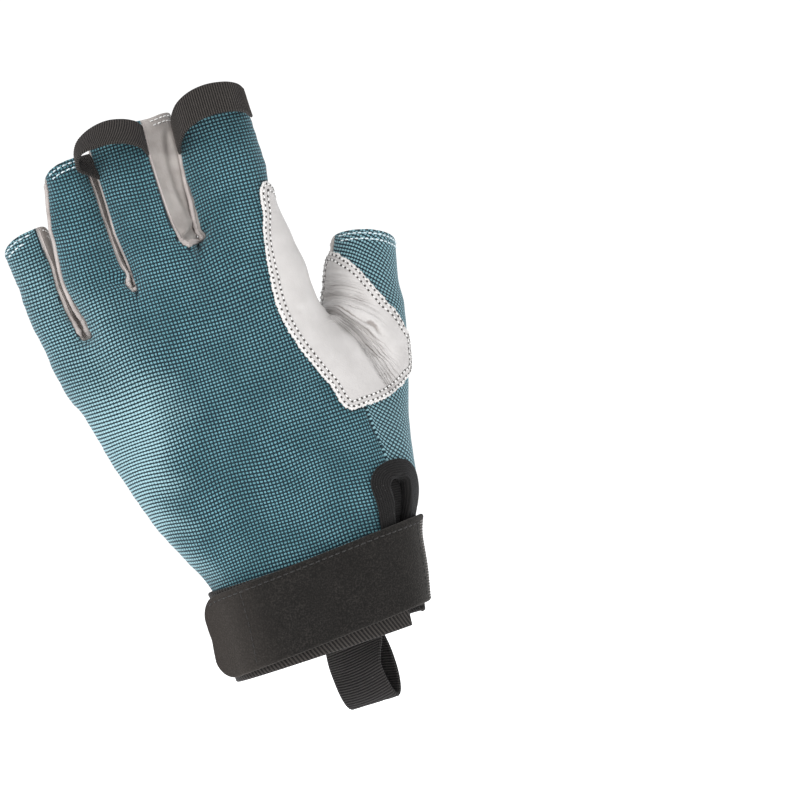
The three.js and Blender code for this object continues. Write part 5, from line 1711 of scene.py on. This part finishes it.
base = cuff_grid(BASE_FROM, BASE_TO, -CUFF_HEM_DROP, CUFF_CLOTH, BAND_STEP)
down, across = along_grid(base, 0), along_grid(base, 1)
knitted = 0.14 * np.sin((down - KNIT_SLANT * across) * RIB / KNIT_PITCH)
knitted += 0.14 * np.sin((across + KNIT_SLANT * down) * RIB / KNIT_PITCH)
add_band("cuff_tape", "cuff_base", base, CUFF_CLOTH / 2, KNIT_TAPE, "tape", knitted)
elastic = cuff_grid(ELASTIC_FROM, ELASTIC_TO, 0, ELASTIC, FINE_STEP)
slant = along_grid(elastic, 0) + ELASTIC_SLANT * along_grid(elastic, 1)
add_band("ribbed_cuff", "elastic_cuff", elastic, ELASTIC / 2, ELASTIC_TAPE, "elastic",
         0.22 * np.sin(slant * RIB / ELASTIC_PITCH))
add_band("notch_tape", "notch_binding", binding_grid(), BINDING / 2, PLAIN_TAPE, "tape", flip=True)
strap = strap_grid()
add_band("suede_strap", "wrist_strap", strap, STRAP_THICKNESS / 2, SUEDE, "strap_fabric",
         0.12 * noise(strap.reshape(-1, 3), 3.5, 7).reshape(strap.shape[:2]))
loop = loop_grid()
ribs = 0.12 * np.sin(along_grid(loop, 0) * RIB / WEBBING_PITCH)
add_band("webbing_loop", "wrist_loop", loop, WEBBING / 2, WEBBING_TAPE, "webbing", ribs, ribs)
for finger, rows in PULL_LOOPS.items():
    grid = ribbon_grid(rows)
    ribs = 0.09 * np.sin(along_grid(grid, 0) * RIB / RIBBON_PITCH)
    add_band("ribbon_" + finger, "pull_loop_" + finger, grid, RIBBON / 2, RIBBON_TAPE, "webbing", ribs, ribs)

# Stitches: their pitch, the radius of each thread and hole, and how much nearer to the edge the
# hems of the cloth and of the strips are sewn than the palm's
PITCH = 1.85
HEM_THREAD, PATCH_THREAD, HOLE_RADIUS, NEAR_HEM = 0.28, 0.26, 0.42, 0.8


def add_threads(name, shape, material, slot):
    return new_piece(name, None, *shape, material, slot)


def on_grid(grid, rows, columns):
    """Points of a grid at fractional rows and columns, and the normals there."""
    normals = grid_normals(grid)
    i, j = np.clip(rows, 0, len(grid) - 1.001), np.clip(columns, 0, grid.shape[1] - 1.001)
    i0, j0 = i.astype(int), j.astype(int)
    s, t = (i - i0)[:, None], (j - j0)[:, None]
    out = []
    for field in (grid, normals):
        top = field[i0, j0] * (1 - t) + field[i0, j0 + 1] * t
        out.append(top * (1 - s) + (field[i0 + 1, j0] * (1 - t) + field[i0 + 1, j0 + 1] * t) * s)
    return out


def band_stitches(grid, lift, lines, pitch, radius, share=0.7):
    """Stitches on a band. lines: from one place to another, each as (length along, length across)."""
    down, across = along_grid(grid, 0)[:, grid.shape[1] // 2], along_grid(grid, 1)[len(grid) // 3]
    parts = []
    for start, end in lines:
        start, end = np.array(start, float), np.array(end, float)
        count = max(int(np.linalg.norm(end - start) / pitch), 1)
        at = (np.arange(count) + 0.5) / count
        half = (end - start) / count / 2 * share
        ends = []
        for sign in (-1, 1):
            place = start + at[:, None] * (end - start) + sign * half
            rows = np.interp(place[:, 0], down, np.arange(len(down)))
            columns = np.interp(place[:, 1], across, np.arange(len(across)))
            points, normals = on_grid(grid, rows, columns)
            ends.append(points + normals * lift)
        parts.append(capsules(*ends, unit(normals) * np.sign(lift), radius))
    return joined(parts)


def overlock(start, end, wide, pitch):
    """Lines of a zigzag along an edge, wide across it."""
    start, end = np.array(start, float), np.array(end, float)
    count = int(np.linalg.norm(end - start) / pitch)
    way = (end - start) / count
    side = np.array([way[1], -way[0]]) / np.linalg.norm(way) * wide
    return [(start + i * way, start + (i + 0.5) * way + side) for i in range(count)]


def crossed_box(near, low, far, high):
    """The lines of a sewn box with a cross."""
    a, b, c, d = (near, low), (near, high), (far, high), (far, low)
    return [(a, b), (d, c), (a, d), (b, c), (a, c), (b, d)]


strap_long = float(along_grid(strap, 0)[-1].max())
strap_lift = -(STRAP_THICKNESS / 2 + 0.02)
# The strap's sewn lines, each from one place to another, as (along it, across it)
edge, far_edge, hem = 2, STRAP_WIDTH - 2, STRAP_WIDTH - 1.8
strap_lines = [
    ((6.5, edge), (6.5, far_edge)),
    ((3, hem), (strap_long - 10, hem)),
    ((strap_long - 24, edge), (strap_long - 24, far_edge)),
]
for side, lift in (("", strap_lift), ("_other", -strap_lift)):
    add_threads("strap_thread" + side, band_stitches(strap, lift, strap_lines, 2.2, 0.2),
                DARK_THREAD, "strap_fabric")
# The overlocked edge at the strap's sewn end: how far in it reaches, its ends, width and pitch
OVERLOCK_AT, OVERLOCK_END, OVERLOCK_WIDTH, OVERLOCK_PITCH = 4.4, 0.7, 3.8, 0.9
zigzag = overlock((OVERLOCK_AT, OVERLOCK_END), (OVERLOCK_AT, STRAP_WIDTH - OVERLOCK_END),
                  -OVERLOCK_WIDTH, OVERLOCK_PITCH)
add_threads("strap_overlock", band_stitches(strap, strap_lift, zigzag, 9, 0.18, 1),
            OVERLOCK_THREAD, "strap_fabric")
# The webbing's sewn box: its ends along the webbing and how far it keeps off the edges
BOX_START, BOX_END, BOX_EDGE = 2, 20, 2
box = crossed_box(BOX_START, BOX_EDGE, BOX_END, LOOP_WIDTH - BOX_EDGE)
for side, lift in (("", WEBBING / 2), ("_other", -WEBBING / 2)):
    add_threads("webbing_thread" + side, band_stitches(loop, lift, box, 2.4, 0.24), DARK_THREAD, "webbing")


patch_lift = PATCH_LIFT + PATCH_LEATHER + PATCH_PAD


def all_round(p):
    return np.ones(len(p), bool)


for number, offset in enumerate(PATCH_ROWS):
    rows = rim_rows(patch, offset, all_round, PITCH)
    stitches = running(rows, patch_lift, PATCH_THREAD, 0.55)
    add_threads(f"patch_thread_{number}", stitches, PALE_THREAD, "patch_leather")
    add_threads(f"patch_hole_shades_{number}", pinhole_shades(rows, patch_lift, HOLE_RADIUS), HOLE_SHADE, "patch_leather")
for number, offset in enumerate(HEM_ROWS):
    for name, panel, material, slot in (
        ("palm", palm, PALE_THREAD, "palm_leather"),
        ("back", back, BLUE_THREAD, "blue_fabric"),
        ("thumb", thumb, BLUE_THREAD, "blue_fabric"),
        ("middle_strip", strips[2], PALE_THREAD, "palm_leather"),
        ("ring_strip", strips[1], PALE_THREAD, "palm_leather"),
        ("little_strip", strips[0], PALE_THREAD, "palm_leather"),
    ):
        rows = rim_rows(panel, offset * (1 if name == "palm" else NEAR_HEM), near_opening, PITCH)
        add_threads(f"{name}_hem_{number}", running(rows, 0.04, HEM_THREAD), material, slot)

# Lips: rolls of leather along the slots, gathered at the foot of each slot
LIP, LIP_OFF, LIP_STEP = 0.8, 0.55, 0.35
GATHER, GATHER_PITCH = 0.16, 1.9


def tube(path, radius, sides=8):
    """A closed thread along a path, thinning to its ends."""
    along = unit(np.gradient(path, axis=0))
    aside = unit(np.cross(along, [0.0, 1.0, 0.0]))
    rings = path[:, None] + circle(sides, aside, np.cross(aside, along)) * radius[:, None, None]
    n = len(path)
    tips = np.stack([path[0] - along[0] * radius[0], path[-1] + along[-1] * radius[-1]])
    shape = np.concatenate([rings.reshape(-1, 3), tips])
    i, k = np.meshgrid(np.arange(n - 1), np.arange(sides), indexing="ij")
    i, k = i.ravel(), k.ravel()
    a, b = i * sides + k, i * sides + (k + 1) % sides
    c, d = b + sides, a + sides
    k = np.arange(sides)
    after, far, tip = (k + 1) % sides, (n - 1) * sides, np.full(sides, n * sides)
    return shape, np.concatenate([
        np.stack([a, b, c], 1),
        np.stack([a, c, d], 1),
        np.stack([after, k, tip], 1),
        np.stack([far + k, far + after, tip + 1], 1),
    ])


def on_cloth_seam(p):
    return (np.abs(is_cloth(p)) < 0.35) & (inside_openings(p) > 0.5)


for strip, name in zip(strips, STRIP_NAMES):
    parts = []
    for row in rim_rows(strip, LIP_OFF, on_cloth_seam, LIP_STEP):
        count = len(row)
        ends = np.minimum(1, np.minimum(np.arange(count), np.arange(count)[::-1]) / 4 + 0.35)
        above = row[:, 2] - row[:, 2].min()
        low = np.exp(-(above / 9) ** 2)
        gathers = 1 + GATHER * low * np.sin(np.arange(count) * LIP_STEP * RIB / GATHER_PITCH)
        normal = outward(row)
        right = smoothstep(-normal[:, 0], -0.3, 0.05)
        shown = np.maximum(0.35 + 0.65 * right, np.exp(-(above / 7) ** 2) * 1.15)
        centre = row + normal * (0.15 * shown + relief(row))[:, None]
        parts.append(tube(pose(centre), LIP * ends * gathers * shown))
    new_piece("lip_" + name, None, *joined(parts), LIP_LEATHER, "palm_leather")

# Dark knit behind the notch, as a gusset; its dark colour is painted shade for the inside of the opening.
# Its directions round the wrist, where it starts, how far it goes past the notch's top and how far behind the
# cloth it lies
KNIT_TURNS, KNIT_LOW, KNIT_PAST, KNIT_BEHIND = (-16, 54), 8, 4.5, 1.2
knit_turns, knit_levels = np.linspace(*KNIT_TURNS, 60), np.linspace(KNIT_LOW, NOTCH_TOP + KNIT_PAST, 70)
knit = around_wrist(knit_turns[:, None], knit_levels[None], -CLOTH - KNIT_BEHIND)
add_band("notch_knit_shade", None, knit, 0.5, PLAIN_TAPE, "tape")

# Camera, floor and light. The tilt turns the camera, so that the glove leans as in the photograph.

TILT = math.radians(18.4)
LENS, SENSOR = 300.0, 36.0
VIEW_WIDTH = 0.264
VIEW_MIDDLE = (0.0484, 0.0684)
FLOOR = -0.03

scene = bpy.context.scene
camera = bpy.data.objects.new("camera", bpy.data.cameras.new("camera"))
camera.data.lens = LENS
camera.data.sensor_width = SENSOR
camera.data.clip_end = 50
c, s = math.cos(TILT), math.sin(TILT)

away = VIEW_WIDTH * LENS / SENSOR
camera.matrix_world = Matrix((
    (c, s, 0, VIEW_MIDDLE[0]),
    (0, 0, -1, -away),
    (-s, c, 0, VIEW_MIDDLE[1]),
    (0, 0, 0, 1),
))
scene.collection.objects.link(camera)
scene.camera = camera
scene.view_settings.view_transform = "Standard"

world = Nodes(bpy.data.worlds.new("studio"))
scene.world = world.owner
path = world.add("ShaderNodeLightPath")
seen = world.add("ShaderNodeBackground", {"Color": (1, 1, 1, 1), "Strength": 1.1})
lit = world.add("ShaderNodeBackground", {"Color": (0.93, 0.96, 1, 1), "Strength": 0.5})
shares = {0: path.outputs["Is Camera Ray"], 1: lit.outputs[0], 2: seen.outputs[0]}
world.add("ShaderNodeOutputWorld", {0: world.add("ShaderNodeMixShader", shares).outputs[0]})

plain = new_look("studio_floor")
shader = plain.add("ShaderNodeBsdfPrincipled", {
    "Base Color": plain.mix(plain.noise(40.0), (0.9, 0.9, 0.9, 1), (0.93, 0.93, 0.93, 1)),
    "Roughness": 0.8, "Emission Color": (1, 1, 1, 1), "Emission Strength": 1.0,
})
plain.add("ShaderNodeOutputMaterial", {"Surface": shader.outputs[0]})
bpy.ops.mesh.primitive_plane_add(size=8, location=(0, 0, FLOOR))
floor = bpy.context.object
floor.name = "studio_floor"
floor.data.materials.append(plain.owner)


def softbox(name, place, aim, size, power, color=(1, 1, 1)):
    light = bpy.data.lights.new(name, "AREA")
    light.shape = "RECTANGLE"
    light.size, light.size_y = size
    light.energy = power
    light.color = color
    lamp = bpy.data.objects.new(name, light)
    lamp.location = place
    lamp.rotation_euler = (Vector(place) - Vector(aim)).to_track_quat("Z", "Y").to_euler()
    scene.collection.objects.link(lamp)


MIDDLE = (0.0, 0.0, 0.08)
softbox("overhead", (-0.1, -0.5, 1.2), MIDDLE, (1.0, 1.0), 9)
softbox("key", (-0.9, -1.0, 0.7), MIDDLE, (0.7, 0.7), 9)
softbox("fill", (1.0, -1.2, 0.3), MIDDLE, (0.9, 0.9), 5)
